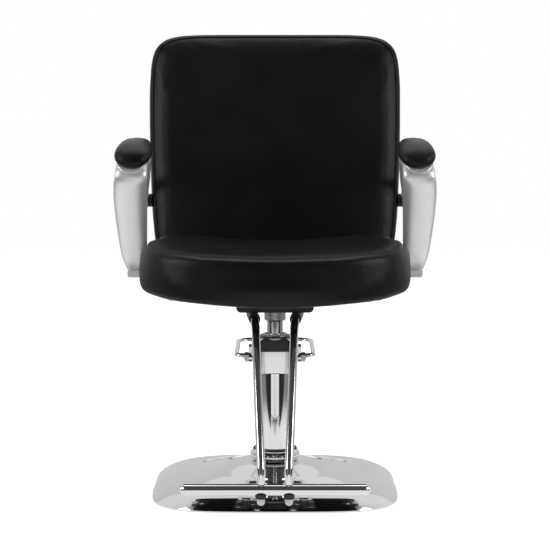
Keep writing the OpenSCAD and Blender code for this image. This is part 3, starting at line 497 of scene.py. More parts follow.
def makePumpHead(look):
    z, h, r, s = look["headZ"], look["headHigh"], look["headRadius"], look["shoulder"]
    bore, edge, nut = look["pistonRadius"] + 0.0001, look["headEdge"], look["nutRadius"]
    profile = [(bore, z + look["nutDeep"]), (nut, z + look["nutDeep"]), (nut, z), (r - edge, z)]
    profile += arc(r - edge, z + edge, edge, -90, 0, 4)
    profile += arc(r - s, z + h - s, s, 0, 90, 26) + [(bore, z + h)]
    head = cutFlat(lathe("pumpHead", profile, steps=128), (0, look["flat"] - r, 0), (0, -1, 0))
    # the flat face bends back towards the top
    head = cutFlat(head, (0, look["flat"] - r, z + look["bendRise"]), look["bendFacing"])
    settle(sharpEdges(head, 25), "base", "chrome", "pump_head")
    for sign, side in ((-1, "Left"), (1, "Right")):
        far, edge, bevel = sign * look["bossOut"], look["bossRadius"], look["bossBevel"]
        profile = [(0, sign * look["bossIn"]), (edge, sign * look["bossIn"]), (edge, far - sign * bevel),
                   (edge - bevel, far), (look["bossHole"], far), (0, far)]
        settle(lathe("pumpBoss" + side, profile, "X", (0, 0, look["pivotZ"]), 64), "base", "chrome")


def makePiston(look):
    r = look["pistonRadius"]
    profile = fillet([(0, look["pistonLow"]), (r, look["pistonLow"]), (r, look["pistonTop"]),
                      (0, look["pistonTop"])], 0.001)
    settle(lathe("pistonRod", profile), "piston", "chrome", "piston_rod")


makeColumn(columnLook)
makePumpHead(columnLook)
makePiston(columnLook)
print("column and pump head made")

# ---- pedal ----

pedalLook = {"width": 0.164, "reach": 0.215, "rod": 0.009, "startX": 0.0523, "startY": 0.018,
             "elbow": 0.012, "bend": 0.024, "tilt": 1.5, "pivotZ": 0.260}


def makeBail(look):
    sideX, rearY = (look["width"] - look["rod"]) / 2, look["reach"] - look["rod"] / 2
    e, b, y0 = look["elbow"], look["bend"], look["startY"]
    path = [(look["startX"], y0)] + arc(sideX - e, y0 + e, e, -90, 0, 12)
    path += [(sideX, y0 + e + (rearY - b - y0 - e) * k / 6) for k in range(1, 6)]
    path += arc(sideX - b, rearY - b, b, 0, 90, 15) + [(0.02, rearY), (0, rearY)]
    path += [(-x, y) for x, y in reversed(path[:-1])]
    turn = Matrix.Translation((0, 0, look["pivotZ"])) @ Matrix.Rotation(radians(look["tilt"]), 4, "X")
    return sweep("pedalBail", [turn @ Vector((x, y, 0)) for x, y in path], look["rod"] / 2)


settle(makeBail(pedalLook), "pedal", "chrome", "pedal_bail")

springLook = {"wire": 0.002, "radius": 0.009, "turns": 4, "stepsPerTurn": 40, "low": 0.2163, "high": 0.2379,
              "y": 0.060}


def makeSpring(look):
    steps = look["turns"] * look["stepsPerTurn"]
    path = []
    for i in range(steps + 1):
        s, a = i / steps, 2 * pi * look["turns"] * i / steps
        path.append((look["radius"] * cos(a), look["y"] + look["radius"] * sin(a),
                     look["low"] + (look["high"] - look["low"]) * s))
    return sweep("plungerSpring", path, look["wire"] / 2, 12)


spring = settle(makeSpring(springLook), "base", "zinc_steel", "plunger_spring")
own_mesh(spring)
print("pedal and plunger spring made")

# ---- footrest ----

footLook = {"x": 0.0386, "frontY": -0.150, "backY": -0.052, "z": 0.355, "toe": 4.1, "slope": 56.0,
            "bend": 0.045, "footBend": 0.040, "footLong": 0.014, "rod": 0.0158, "barZ": 0.073,
            "barDiameter": 0.0206, "barLong": 0.334, "wall": 0.0018, "bevel": 0.0004, "plug": 0.004,
            "plugDeep": 0.012, "bead": 0.011}


def footRun(look):
    # length of the rod's straight slope, and how far forward its foot is from its first bend
    a, r, f = radians(look["slope"]), look["bend"], look["footBend"]
    drop = look["z"] - look["barZ"] - look["barDiameter"] / 2 - look["footLong"]
    drop -= r * (1 - cos(a)) + f * cos(a)
    long = drop / sin(a)
    return long, r * sin(a) + long * cos(a) + f * (1 - sin(a))


def makeFootArm(look):
    # level under the seat, then a bend, the straight slope and a bend down into the bar
    slope, r, f = look["slope"], look["bend"], look["footBend"]
    long, run = footRun(look)
    down, ahead = sin(radians(slope)), cos(radians(slope))
    y1, z1 = -r * down, -r * (1 - ahead)
    y2, z2 = y1 - long * ahead, z1 - long * down
    path = [(look["backY"] - look["frontY"], 0), (0.02, 0)] + arc(0, -r, r, 90, 90 + slope, 24)
    path += [(y1 - long * ahead * k / 8, z1 - long * down * k / 8) for k in range(1, 8)]
    path += arc(y2 + f * down, z2 - f * ahead, f, 90 + slope, 180, 16)
    path.append((-run, z2 - f * ahead - look["footLong"]))
    turn = Matrix.Translation((look["x"], look["frontY"], look["z"])) \
        @ Matrix.Rotation(radians(-look["toe"]), 4, "Z")
    return sweep("footrestArmRight", [turn @ Vector((0, y, z)) for y, z in path], look["rod"] / 2, 40)


def makeCrossbar(look):
    y = look["frontY"] - footRun(look)[1] * cos(radians(look["toe"]))
    half, r, centre = look["barLong"] / 2 - look["plug"], look["barDiameter"] / 2, (0, y, look["barZ"])
    bore, bevel = r - look["wall"], look["bevel"]
    profile = [(bore, -half), (r - bevel, -half), (r, bevel - half), (r, half - bevel), (r - bevel, half),
               (bore, half)]
    settle(lathe("footrestCrossbar", profile, "X", centre), "seat", "chrome", "footrest_crossbar")
    for sign, side in ((-1, "Left"), (1, "Right")):
        # a plug with a shallow cone and a round bead at its end
        profile = [(0, half - look["plugDeep"]), (bore, half - look["plugDeep"]), (bore, half),
                   (r - bevel / 2, half), (r - 1.5 * bevel, half + 1.5 * bevel),
                   (r - look["plug"] / 2, half + look["plug"])]
        bead, start = look["bead"] / 2, half + look["plug"] - look["bead"] / 8
        profile += arc(0, start, bead, 14, 90, 12)[:-1] + [(0, start + bead)]
        plug = lathe("crossbarPlug" + side, [(p, sign * q) for p, q in profile], "X", centre, 72)
        settle(plug, "seat", "chrome", "crossbar_plugs")


footArm = makeFootArm(footLook)
settle(footArm, "seat", "chrome", "footrest_arm_right")
settle(mirrored(footArm, "footrestArmLeft"), "seat", "chrome", "footrest_arm_left")
makeCrossbar(footLook)
print("footrest made")

# ---- arms ----

armLook = {"backWidth": 0.536, "rearY": 0.248, "run": 0.382, "footZ": 0.433, "topZ": 0.652, "width": 0.064,
           "thick": 0.024, "power": 2.8, "points": 56, "stepsPerRow": 10, "gap": 0.0003,
           "trayThick": 0.005, "trayShare": 0.93, "trayFrom": 0.394, "trayTo": 0.801,
           "padFrom": 0.407, "padTo": 0.792, "padWidth": 0.070, "padThick": 0.027, "padPower": 2.5,
           "padLow": 0.26, "padShift": 0.003, "padTaper": 0.24,
           "taperFrom": 0.42, "taperRun": 0.3, "endShare": 0.14, "tipShare": 0.16}
# shares of the run and the rise, then the middle, width and thickness of the band
armRows = [
    [0.408, -0.021, 0.118, 0.56, 0.85], [0.390, 0.132, 0.193, 0.78, 1.00], [0.285, 0.374, 0.193, 0.91, 1.15],
    [0.154, 0.616, 0.158, 1.0, 1.15], [0.042, 0.781, 0.104, 1.0, 1.10], [0.000, 0.877, 0.060, 0.965, 1.05],
    [0.042, 0.947, 0.050, 0.94, 1.00], [0.168, 0.986, 0.055, 0.91, 1.00], [0.351, 1.000, 0.085, 0.86, 1.00],
    [0.560, 0.990, 0.139, 0.8, 1.00], [0.743, 0.930, 0.212, 0.74, 1.00], [0.887, 0.813, 0.271, 0.66, 1.00],
    [0.974, 0.680, 0.338, 0.6, 0.95], [1.000, 0.534, 0.308, 0.54, 0.90]
]
armEnd = len(armRows) - 1


def armBand(look, u):
    row = blendRows(armRows, u)
    ahead, behind = blendRows(armRows, u + 0.02), blendRows(armRows, u - 0.02)
    rise = look["topZ"] - look["footZ"]
    ty, tz = (ahead[0] - behind[0]) * look["run"], (ahead[1] - behind[1]) * rise
    long = hypot(ty, tz)
    return {"y": look["rearY"] - look["run"] * (1 - row[0]), "z": look["footZ"] + row[1] * rise,
            "x": look["backWidth"] / 2 + row[2] * look["width"], "width": row[3] * look["width"],
            "thick": row[4] * look["thick"], "outY": -tz / long, "outZ": ty / long}


def bandRing(band, pairs):
    return [(band["x"] + p, band["y"] + band["outY"] * q, band["z"] + band["outZ"] * q) for p, q in pairs]


def superRing(a, b, power, count):
    dense = [(*superPoint(-t, a, b, power), 0) for t in around(360)]
    return [(p.x, p.y) for p in evenRing(dense, count)]


def roundEnd(look, s):
    e = min(s, 1 - s) / look["endShare"]
    return 1.0 if e >= 1 else max(look["tipShare"], sqrt(max(0.0, 1 - (1 - e) ** 2)))


def makeArm(look):
    rings = []
    for i in range(armEnd * look["stepsPerRow"] + 1):
        band = armBand(look, i / look["stepsPerRow"])
        pairs = superRing(band["width"] / 2, band["thick"] / 2, look["power"], look["points"])
        rings.append(bandRing(band, pairs))
    # the casting's foot is flattened onto its lug
    rings = [[(x, y, max(z, look["footZ"])) for x, y, z in ring] for ring in rings]
    return loft("armRight", rings)


def padPlaces(look, start, stop, steps=96):
    # closer together towards both ends, where the pad rounds off
    return [start + (stop - start) * (0.5 - 0.5 * cos(pi * k / steps)) for k in range(steps + 1)]


def makeTray(look):
    start, stop = look["trayFrom"] * armEnd, look["trayTo"] * armEnd
    rings = []
    for u in padPlaces(look, start, stop, 72):
        band = armBand(look, u)
        half = band["width"] / 2 * look["trayShare"] * roundEnd(look, (u - start) / (stop - start)) ** 0.7
        pairs = superRing(half, look["trayThick"] / 2, look["padPower"] + 1, 40)
        rise = band["thick"] / 2 + look["gap"] + look["trayThick"] / 2
        rings.append(bandRing(band, [(p, rise + q) for p, q in pairs]))
    return loft("padTrayRight", rings)


def makePad(look):
    start, stop = look["padFrom"] * armEnd, look["padTo"] * armEnd
    low = look["padLow"] * look["padThick"]
    rings = []
    for u in padPlaces(look, start, stop):
        band = armBand(look, u)
        k = roundEnd(look, (u - start) / (stop - start))
        base = band["thick"] / 2 + 2 * look["gap"] + look["trayThick"]
        narrow = ease((u / armEnd - look["taperFrom"]) / look["taperRun"])
        half = look["padWidth"] / 2 * (1 - look["padTaper"] * narrow) * k ** 0.6
        pairs = []
        for p, q in superRing(half, 1.0, look["padPower"], 56):
            rise = low + q * (look["padThick"] - low) * k ** 0.7 if q > 0 else low + q * low
            pairs.append((p - look["padShift"] * (1 - narrow), base + rise))
        rings.append(bandRing(band, pairs))
    return loft("armPadRight", rings)


for piece, slotName, nodeName, padFill in (
        (makeArm(armLook), "cast_silver", "arm", None), (makeTray(armLook), "cast_silver", "pad_tray", None),
        (makePad(armLook), "pad_black", "arm_pad", 0.9)):
    twin = mirrored(piece, piece.name.replace("Right", "Left"))
    settle(piece, "seat", slotName, nodeName + "_right")
    settle(twin, "seat", slotName, nodeName + "_left")

bracketLook = {"outX": 0.2581, "long": 0.076, "thick": 0.0055, "low": 0.3855, "high": 0.433,
               "frontY": -0.0021, "backY": 0.0459, "bend": 0.016}


def makeBracket(look):
    # a flat strap bent up from the board to the arm's lug
    out, low, bend, near, far = look["outX"], look["low"], look["bend"], look["frontY"], look["backY"]
    outer, inner = ([(out - look["long"], low + t)] + arc(out - bend, low + bend, bend - t, -90, 0, 10)
                    + [(out - t, look["high"])] for t in (0, look["thick"]))
    rings = [[(a, near, b), (a, far, b), (c, far, d), (c, near, d)] for (a, b), (c, d) in zip(outer, inner)]
    return sharpEdges(loft("armBracketRight", rings), 30)


bracket = makeBracket(bracketLook)
settle(bracket, "seat", "black_steel", "arm_brackets")
settle(mirrored(bracket, "armBracketLeft"), "seat", "black_steel", "arm_brackets")
print("arms, trays, pads and brackets made")

# ---- cushions ----

clothLook = {"voxel": 0.0055, "seatVoxel": 0.94, "frames": 20, "evenTurns": 5}
coverSettings = {"quality": 4, "mass": 0.4, "tension_stiffness": 25, "compression_stiffness": 25,
                 "shear_stiffness": 8, "bending_stiffness": 2, "use_pressure": True,
                 "uniform_pressure_force": 4.0, "vertex_group_mass": "held"}


def skinOf(obj):
    return BVHTree.FromPolygons([v.co.copy() for v in obj.data.vertices],
                                [p.vertices for p in obj.data.polygons])


def gridSkin(obj, voxel):
    # an even mesh that lies exactly on the lofted form
    form = skinOf(obj)
    remesh = obj.modifiers.new("evenSkin", "REMESH")
    remesh.mode = "VOXEL"
    remesh.voxel_size = voxel
    smooth = obj.modifiers.new("softSkin", "SMOOTH")
    smooth.factor = 0.5
    smooth.iterations = 4
    applyModifiers(obj)
    for vertex in obj.data.vertices:
        vertex.co = form.find_nearest(vertex.co)[0]
    obj.data.update()
    return obj


def puff(obj, look, cap, held):
    # swells the skin a little under pressure; held says which points stay on the board
    rest = [v.co.copy() for v in obj.data.vertices]
    group = obj.vertex_groups.new(name="held")
    group.add([i for i, p in enumerate(rest) if held(p)], 1.0, "REPLACE")
    cloth = obj.modifiers.new("cover", "CLOTH")
    for key, value in coverSettings.items():
        setattr(cloth.settings, key, value)
    cloth.settings.effector_weights.gravity = 0
    cloth.point_cache.frame_end = look["frames"]
    for step in range(1, look["frames"] + 1):
        bpy.context.scene.frame_set(step)
    graph = bpy.context.evaluated_depsgraph_get()
    swollen = bpy.data.meshes.new_from_object(obj.evaluated_get(graph), depsgraph=graph)
    moves = np.array([vertex.co - start for vertex, start in zip(swollen.vertices, rest)])
    moves *= np.minimum(1, cap / np.maximum(np.linalg.norm(moves, axis=1), 1e-9))[:, None]
    # the vinyl is tight, so neighbouring points share their moves and only broad folds are left
    ends = np.array([edge.vertices[:] for edge in swollen.edges])
    for turn in range(look["evenTurns"]):
        total, count = moves.copy(), np.ones(len(moves))
        for a, b in ((0, 1), (1, 0)):
            np.add.at(total, ends[:, a], moves[ends[:, b]])
            np.add.at(count, ends[:, a], 1)
        moves = total / count[:, None]
    for vertex, start, move in zip(swollen.vertices, rest, moves):
        vertex.co = start + Vector(move)
    obj.modifiers.clear()
    obj.data = swollen
    obj.vertex_groups.clear()
    bpy.context.scene.frame_set(1)
    return obj


def refine(obj):
    finer = obj.modifiers.new("finer", "SUBSURF")
    finer.levels = finer.render_levels = 1
    return smoothFaces(applyModifiers(obj))


seatLook = {"width": 0.526, "depth": 0.470, "frontY": -0.268, "z": 0.391, "thick": 0.088, "smile": 0.014,
            "power": 3.0, "wingEnd": -0.112, "wingRun": 0.090, "wingShare": 0.067, "boardInset": 0.040,
            "boardThick": 0.012, "sideRise": 0.020, "crown": 0.005, "bolsterStart": 0.040, "edgeDrop": 0.07,
            "start": -0.0005, "cap": 0.003, "seam": 0.013, "groove": 0.0011, "grooveWide": 0.0032,
            "stitchOut": 0.004, "sag": 0.002, "midSag": 0.003, "midEnd": 0.6, "sagFrom": 0.12, "sagRun": 0.1,
            "sagEnd": 0.76, "boardBevel": 0.036, "boardRim": 0.0078, "middle": (0, -0.033, 0.43)}


def seatPlan(look, angle, inset):
    mid = look["frontY"] + look["depth"] / 2
    x, y = superPoint(angle, look["width"] / 2 - inset, look["depth"] / 2 - inset, look["power"])
    # behind its front the cushion gets narrower, where the arms come down
    return x * (1 - look["wingShare"] * ease((y + mid - look["wingEnd"]) / look["wingRun"])), y + mid


def seatSmile(look, x):
    return look["smile"] * (2 * x / look["width"]) ** 2


def seatSag(look, x, y):
    # the cover hangs a few millimetres below the board along the front, most at its middle
    share = abs(2 * x / look["width"])
    front = ease((look["frontY"] + look["sagFrom"] - y) / look["sagRun"])
    deep = look["sag"] + look["midSag"] * (1 - ease(share / look["midEnd"]))
    return front * deep * (1 - ease((share - look["sagEnd"]) / look["sagRun"]))


def seatOutline(look, inset, count=160):
    ring = [(*seatPlan(look, a, inset), 0) for a in around(720)]
    return [(p.x, p.y) for p in evenRing(ring, count)]


def seatTop(look, share, x, y):
    # height of the sitting surface over a point of the plan, at a share of the way out
    bolster = look["sideRise"] * (2 * x / look["width"]) ** 2 \
        * ease((y - look["frontY"] - look["bolsterStart"]) / (look["depth"] / 2))
    return look["z"] + look["thick"] + look["crown"] * (1 - share ** 2) + seatSmile(look, x) \
        + bolster - look["thick"] * look["edgeDrop"] * share ** 8


def makeSeatCushion(look):
    mid = look["frontY"] + look["depth"] / 2
    inset, boardTop = look["start"], look["z"] + look["boardThick"]
    rings = [[(x, y, z) for x, y in seatOutline(look, look["boardInset"])]
             for z in (boardTop, look["z"] + 0.0008)]
    insets = [0.19, 0.13, 0.085, 0.055, 0.03, 0.012, 0, 0, 0.004, 0.012, 0.028, 0.05, 0.08, 0.115]
    heights = [0.0, 0.012, 0.035, 0.075, 0.13, 0.22, 0.34, 0.62, 0.73, 0.82, 0.885, 0.925, 0.953, 0.975]
    for i, h in zip(insets, heights):
        z, hang = look["z"] + max(h, 0.02) * look["thick"] - inset * (h > 0.5), 1 - ease((h - 0.1) / 0.25)
        rings.append([(x, y, z + seatSmile(look, x) - seatSag(look, x, y) * hang)
                      for x, y in seatOutline(look, i * look["thick"] + inset)])
    for share in (0.93, 0.9, 0.86, 0.82, 0.76, 0.7, 0.62, 0.55, 0.46, 0.38, 0.29, 0.2, 0.1):
        ring = drawnIn(seatOutline(look, 0), share, mid)
        rings.append([(x, y, seatTop(look, share, x, y) - inset) for x, y in ring])
    cushion = loft("seatCushion", rings)
    gridSkin(cushion, clothLook["voxel"] * clothLook["seatVoxel"])
    puff(cushion, clothLook, look["cap"], lambda p: p.z < boardTop + 0.004)
    return refine(cushion)


def dentAlong(obj, path, deep, wide, inward):
    # presses a soft groove into the skin along a seam
    tree = KDTree(len(path))
    for k, p in enumerate(path):
        tree.insert(p, k)
    tree.balance()
    for vertex in obj.data.vertices:
        away = tree.find(vertex.co)[2]
        if away < 3 * wide:
            vertex.co += inward(vertex.co) * deep * exp(-(away / wide) ** 2)
    obj.data.update()


def onSkin(obj, points, direction, lift=0.0):
    # drops points onto the skin along a direction, and leaves out any that miss
    skin = skinOf(obj)
    direction = Vector(direction).normalized()
    path = []
    for p in points:
        hit = skin.ray_cast(Vector(p) - direction * 0.3, direction)
        if hit[0] is not None:
            path.append(hit[0] + hit[1] * lift)
    return path


def stitchTree():
    # one small thread at every pitch along a closed line
    tree = bpy.data.node_groups.new("stitchRow", "GeometryNodeTree")
    for label, kind in (("Geometry", "Geometry"), ("Pitch", "Float"), ("Stitch Half", "Float"),
                        ("Thread Radius", "Float"), ("Material", "Material")):
        tree.interface.new_socket(name=label, in_out="INPUT", socket_type="NodeSocket" + kind)
    tree.interface.new_socket(name="Geometry", in_out="OUTPUT", socket_type="NodeSocketGeometry")
    given, result = tree.nodes.new("NodeGroupInput").outputs, tree.nodes.new("NodeGroupOutput")
    line = addNode(tree, "GeometryNodeMeshToCurve", None, {"Mesh": given["Geometry"]})
    spots = addNode(tree, "GeometryNodeCurveToPoints", {"mode": "LENGTH"},
                    {"Curve": line.outputs["Curve"], "Length": given["Pitch"]})
    thread = addNode(tree, "GeometryNodeMeshUVSphere", None, {"Segments": 6, "Rings": 4, "Radius": 1.0})
    size = addNode(tree, "ShaderNodeCombineXYZ", None,
                   {"X": given["Thread Radius"], "Y": given["Thread Radius"], "Z": given["Stitch Half"]})
    place = addNode(tree, "GeometryNodeInstanceOnPoints", None,
                    {"Points": spots.outputs["Points"], "Instance": thread.outputs["Mesh"],
                     "Rotation": spots.outputs["Rotation"], "Scale": size.outputs["Vector"]})
    real = addNode(tree, "GeometryNodeRealizeInstances", None, {"Geometry": place.outputs["Instances"]})
    paint = addNode(tree, "GeometryNodeSetMaterial", None,
                    {"Geometry": real.outputs["Geometry"], "Material": given["Material"]})
    feed(tree, result, {"Geometry": paint.outputs["Geometry"]})
    return tree


stitches = stitchTree()
stitchLook = {"Pitch": 0.0052, "Stitch Half": 0.0019, "Thread Radius": 0.00042, "Material": threadMaterial}


def stitchRow(name, path, look):
    mesh = bpy.data.meshes.new(name + "Line")
    count = len(path)
    mesh.from_pydata([tuple(p) for p in path], [(k, (k + 1) % count) for k in range(count)], [])
    obj = addObject(name, mesh)
    row = obj.modifiers.new("stitches", "NODES")
    row.node_group = stitches
    for item in stitches.interface.items_tree:
        if item.in_out == "INPUT" and item.name in look:
            row[item.identifier] = look[item.name]
    settle(smoothFaces(applyModifiers(obj)), "seat", "black_vinyl")


def makeSeatBoard(look):
    # the board's lower edge is rounded off, so that it keeps out of sight behind the cover
    z, inset, bevel, rim = look["z"], look["boardInset"] + 0.0005, look["boardBevel"], look["boardRim"]
    levels = [(inset + bevel, 0), (inset + 0.4 * bevel, 0.3 * rim), (inset + 0.001, rim),
              (inset, rim + 0.001), (inset, look["boardThick"])]
    return loft("seatBoard", [[(x, y, z + h) for x, y in seatOutline(look, i)] for i, h in levels])


settle(sharpEdges(makeSeatBoard(seatLook), 60), "seat", "black_board", "seat_board")
seatCushion = makeSeatCushion(seatLook)


def seatLine(look, inset, count, lift=0.0):
    # a line on the cushion's top, at a distance from its outline
    return onSkin(seatCushion, [(x, y, 0.6) for x, y in seatOutline(look, inset, count)], (0, 0, -1), lift)


seatMiddle = Vector(seatLook["middle"])
dentAlong(seatCushion, seatLine(seatLook, seatLook["seam"], 520), seatLook["groove"], seatLook["grooveWide"],
          lambda p: (seatMiddle - p).normalized())
for side, inset in (("Inner", seatLook["seam"] + seatLook["stitchOut"]),
                    ("Outer", seatLook["seam"] - seatLook["stitchOut"])):
    stitchRow("seatStitches" + side, seatLine(seatLook, inset, 420, 0.0001), stitchLook)
settle(seatCushion, "seat", "black_vinyl", "seat_cushion")
print("seat cushion made:", len(seatCushion.data.polygons), "faces")

backLook = {"width": 0.536, "high": 0.503, "thick": 0.058, "shell": 0.020, "y": 0.206, "z": 0.420, "lean": 8,
            "power": 8.2, "taper": 0.045, "taperEnd": 0.55, "crown": 0.008, "crownEdge": 0.58,
            "boardThick": 0.010, "boardInset": 0.022, "start": -0.0043, "cap": 0.003, "welt": 0.0065,
            "weltRadius": 0.0019, "groove": 0.0012, "grooveWide": 0.003, "stitchIn": 0.0095}
leaning = Matrix.Translation((0, backLook["y"], backLook["z"])) \
    @ Matrix.Rotation(radians(-backLook["lean"]), 4, "X")


def backOutline(look, inset, count=220):
    ring, half = [], look["high"] / 2
    for a in around(1440):
        x, h = superPoint(a, look["width"] / 2 - inset, half - inset, look["power"])
        h += half
        x *= 1 - look["taper"] * max(0.0, 1 - h / (look["high"] * look["taperEnd"]))
        ring.append((x, 0, h))
    return [(p.x, p.z) for p in evenRing(ring, count)]


def backRing(look, inset, depth):
    return [leaning @ Vector((x, depth, h)) for x, h in backOutline(look, inset)]


def makeBackCushion(look):
    half, inset, thick = look["high"] / 2, look["start"], look["thick"]
    insets = [0.14, 0.05, 0, 0, 0.01, 0.03, 0.06, 0.1, 0.14, 0.19, 0.25, 0.32, 0.4, 0.48]
    depths = [1, 0.95, 0.8, 0.5, 0.32, 0.26, 0.215, 0.18, 0.152, 0.122, 0.092, 0.064, 0.04, 0.022]
    rings = [backRing(look, i * thick + inset, d * thick + inset * max(0.0, 1 - 2 * d))
             for i, d in zip(insets, depths)]
    for share in (0.86, 0.82, 0.77, 0.7, 0.62, 0.52, 0.4, 0.28, 0.14):
        # the front is crowned, but flatter in its lowest third
        crown, low = share ** 4 - look["crownEdge"], 0.6 - share ** 4
        rings.append([leaning @ Vector((
            x, look["crown"] * crown + inset + look["crown"] * (1 - ease(h * 3 / look["high"])) * low, h))
            for x, h in drawnIn(backOutline(look, 0), share, half)])
    cushion = loft("backCushion", rings)
    gridSkin(cushion, clothLook["voxel"])
    back = leaning.inverted()
    puff(cushion, clothLook, look["cap"], lambda p: (back @ p).y > thick - 0.004)
    return refine(cushion)


backCushion = makeBackCushion(backLook)
backInto = leaning.to_3x3() @ Vector((0, 1, 0))
weltPath = onSkin(backCushion, backRing(backLook, backLook["welt"], 0), backInto)
dentAlong(backCushion, weltPath, backLook["groove"], backLook["grooveWide"], lambda p: backInto)
settle(sweep("backWelt", weltPath + weltPath[:2], backLook["weltRadius"], 12, False), "seat", "black_vinyl")
backRow = backRing(backLook, backLook["welt"] + backLook["stitchIn"], 0)
stitchRow("backStitches", onSkin(backCushion, backRow, backInto, 0.0001), stitchLook)
settle(backCushion, "seat", "black_vinyl", "back_cushion")
print("back cushion made:", len(backCushion.data.polygons), "faces")


def makeBackShell(look):
    thick, shell = look["thick"] + 0.0004, look["shell"]
    insets = [0.15, 0.05, 0.05, 0.12, 0.25, 0.45, 0.7, 1.0, 1.3]
    depths = [0, 0.12, 0.28, 0.45, 0.6, 0.76, 0.88, 0.96, 1]
    # the pocket for the back's board comes first
    rings = [backRing(look, look["boardInset"], thick + look["boardThick"]),
             backRing(look, look["boardInset"], thick)]
    rings += [backRing(look, i * shell, thick + d * shell) for i, d in zip(insets, depths)]
    for share in (0.85, 0.7, 0.5, 0.3, 0.15):
        rings.append([leaning @ Vector((x, look["thick"] + shell, h))
                      for x, h in drawnIn(backOutline(look, 1.3 * shell), share, look["high"] / 2)])
    return loft("backShell", rings)


backShell = makeBackShell(backLook)
settle(sharpEdges(backShell, 60), "seat", "shell_black", "back_shell")
print("back shell made")

# ---- light, floor and camera ----

stageLook = {"side": 30, "strip": 1.2, "top": 30, "rim": 4, "aim": (0, 0, 0.5), "sky": 0.55,
             "floorHalf": 6, "floorColor": 0.86, "floorGlow": 0.6,
             "roomFrom": -0.35, "roomTo": 0.75, "roomDark": 0.1, "roomMetal": 0.64,
             "pageFront": 0.57, "pageEnd": 1.95, "pageSlope": 0.48, "pageMetal": 0.9, "pageSide": 0.22,
             "pageNear": 0.62, "pageFar": 1.1, "pageBeyond": 0.34, "beyondFrom": 2.9}


def addArea(name, place, size, power):
    light = bpy.data.lights.new(name, "AREA")
    light.shape = "RECTANGLE"
    light.size, light.size_y = size
    light.energy = power
    obj = addObject(name, light)
    obj.location = place
    obj.rotation_euler = (Vector(stageLook["aim"]) - Vector(place)).to_track_quat("-Z", "Y").to_euler()


def makeWorld(look):
    # the camera sees white, metal sees a room that is darker towards the camera, the rest an even sky
    world = bpy.data.worlds.new("studio")
    bpy.context.scene.world = world
    world.use_nodes = True
    tree = world.node_tree
    plain = feed(tree, tree.nodes["Background"], {"Color": (1, 1, 1, 1), "Strength": look["sky"]})
    white = addNode(tree, "ShaderNodeBackground", None, {"Color": (1, 1, 1, 1), "Strength": 1.0})
    apart = addNode(tree, "ShaderNodeSeparateXYZ", None,
                    {0: addNode(tree, "ShaderNodeTexCoord").outputs["Generated"]})
    room = addNode(tree, "ShaderNodeMapRange", {"interpolation_type": "SMOOTHSTEP"},
                   {"Value": apart.outputs["Y"], "From Min": look["roomFrom"], "From Max": look["roomTo"],
                    "To Min": look["roomDark"], "To Max": 1.0})
    metal = addNode(tree, "ShaderNodeBackground", None,
                    {"Color": room.outputs["Result"], "Strength": look["roomMetal"]})
    rays = addNode(tree, "ShaderNodeLightPath").outputs
    inMetal = addNode(tree, "ShaderNodeMixShader", None,
                      {"Fac": rays["Is Glossy Ray"], 1: plain.outputs[0], 2: metal.outputs[0]})
    seen = addNode(tree, "ShaderNodeMixShader", None,
                   {"Fac": rays["Is Camera Ray"], 1: inMetal.outputs[0], 2: white.outputs[0]})
    feed(tree, tree.nodes["World Output"], {"Surface": seen.outputs[0]})


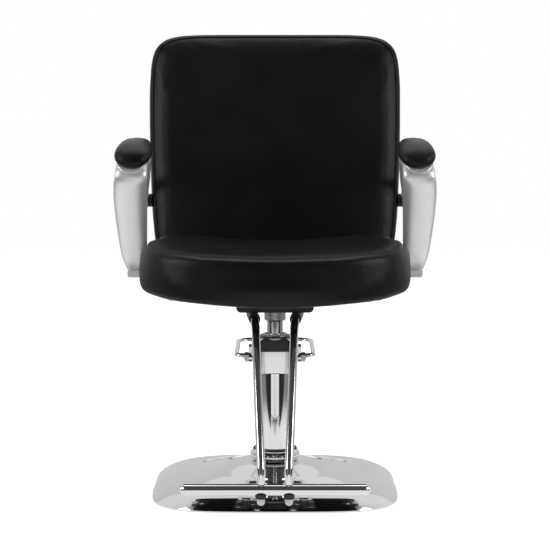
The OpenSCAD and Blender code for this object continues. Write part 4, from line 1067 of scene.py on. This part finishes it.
def makeFloor(look):
    half = look["floorHalf"]
    mesh = bpy.data.meshes.new("floor")
    corners = [(-half, -half, 0), (half, -half, 0), (half, half, 0), (-half, half, 0)]
    mesh.from_pydata(corners, [], [(0, 1, 2, 3)])
    mat, tree, shader, place = startMaterial("paleFloor")
    # the camera sees the floor as white as the backdrop; metal sees a dark floor with a white page on it,
    # which fades to the sides and ends in front in a wedge, and a grey page farther in front
    apart = addNode(tree, "ShaderNodeSeparateXYZ", None, {0: place})
    ahead = addMath(tree, "MULTIPLY", apart.outputs["Y"], -1.0)
    far = addNode(tree, "ShaderNodeVectorMath", {"operation": "LENGTH"}, {0: place})
    fade = addNode(tree, "ShaderNodeMapRange", {"interpolation_type": "SMOOTHSTEP"},
                   {"Value": far.outputs["Value"], "From Min": look["pageNear"], "From Max": look["pageFar"],
                    "To Min": look["pageMetal"], "To Max": look["pageSide"]})
    near = addMath(tree, "LESS_THAN", ahead, look["pageFront"])
    beside = addMath(tree, "MULTIPLY", near, fade.outputs["Result"])
    within = addMath(tree, "LESS_THAN", addMath(tree, "ABSOLUTE", apart.outputs["X"]),
                     addMath(tree, "MULTIPLY", ahead, look["pageSlope"]))
    wedge = addMath(tree, "MULTIPLY", within, addMath(tree, "LESS_THAN", ahead, look["pageEnd"]))
    page = addMath(tree, "MAXIMUM", beside, addMath(tree, "MULTIPLY", wedge, look["pageMetal"]))
    beyond = addMath(tree, "GREATER_THAN", ahead, look["beyondFrom"])
    white = addMath(tree, "MULTIPLY_ADD", beyond, look["pageBeyond"], page)
    rays = addNode(tree, "ShaderNodeLightPath").outputs
    glow = addMath(tree, "MULTIPLY_ADD", rays["Is Camera Ray"], look["floorGlow"],
                   addMath(tree, "MULTIPLY", white, rays["Is Glossy Ray"]))
    paint = addNode(tree, "ShaderNodeMix", {"data_type": "RGBA"},
                    {"A": (*[look["floorColor"]] * 3, 1), "B": (0.01, 0.01, 0.01, 1),
                     "Factor": rays["Is Glossy Ray"]})
    feed(tree, shader, {"Base Color": paint.outputs["Result"], "Roughness": 0.8, "Specular IOR Level": 0.1,
                        "Emission Color": (1, 1, 1, 1), "Emission Strength": glow})
    mesh.materials.append(mat)
    addObject("floor", mesh)


makeWorld(stageLook)
makeFloor(stageLook)
for name, place, size, kind in (
        ("leftLight", (-2.6, -1.25, 1.45), (1.0, 1.4), "side"),
        ("rightLight", (2.6, -1.25, 1.45), (1.0, 1.4), "side"),
        ("leftStrip", (-1.5, -2.3, 0.6), (0.25, 2.0), "strip"),
        ("rightStrip", (1.5, -2.3, 0.6), (0.25, 2.0), "strip"),
        ("topLight", (0, 0.5, 3.0), (3.0, 1.4), "top"),
        ("backLight", (0, 2.2, 2.4), (4.0, 2.2), "rim")):
    addArea(name, place, size, stageLook[kind])

cameraLook = {"place": (0, -2.9073, 0.70489), "down": 5.5093, "lens": 96.129, "sensor": 36}
camera = bpy.data.cameras.new("camera")
camera.lens = cameraLook["lens"]
camera.sensor_width = cameraLook["sensor"]
cameraObject = addObject("camera", camera)
cameraObject.location = cameraLook["place"]
cameraObject.rotation_euler = (radians(90 - cameraLook["down"]), 0, 0)
bpy.context.scene.camera = cameraObject
bpy.context.scene.view_settings.view_transform = "Standard"
print("stage made")
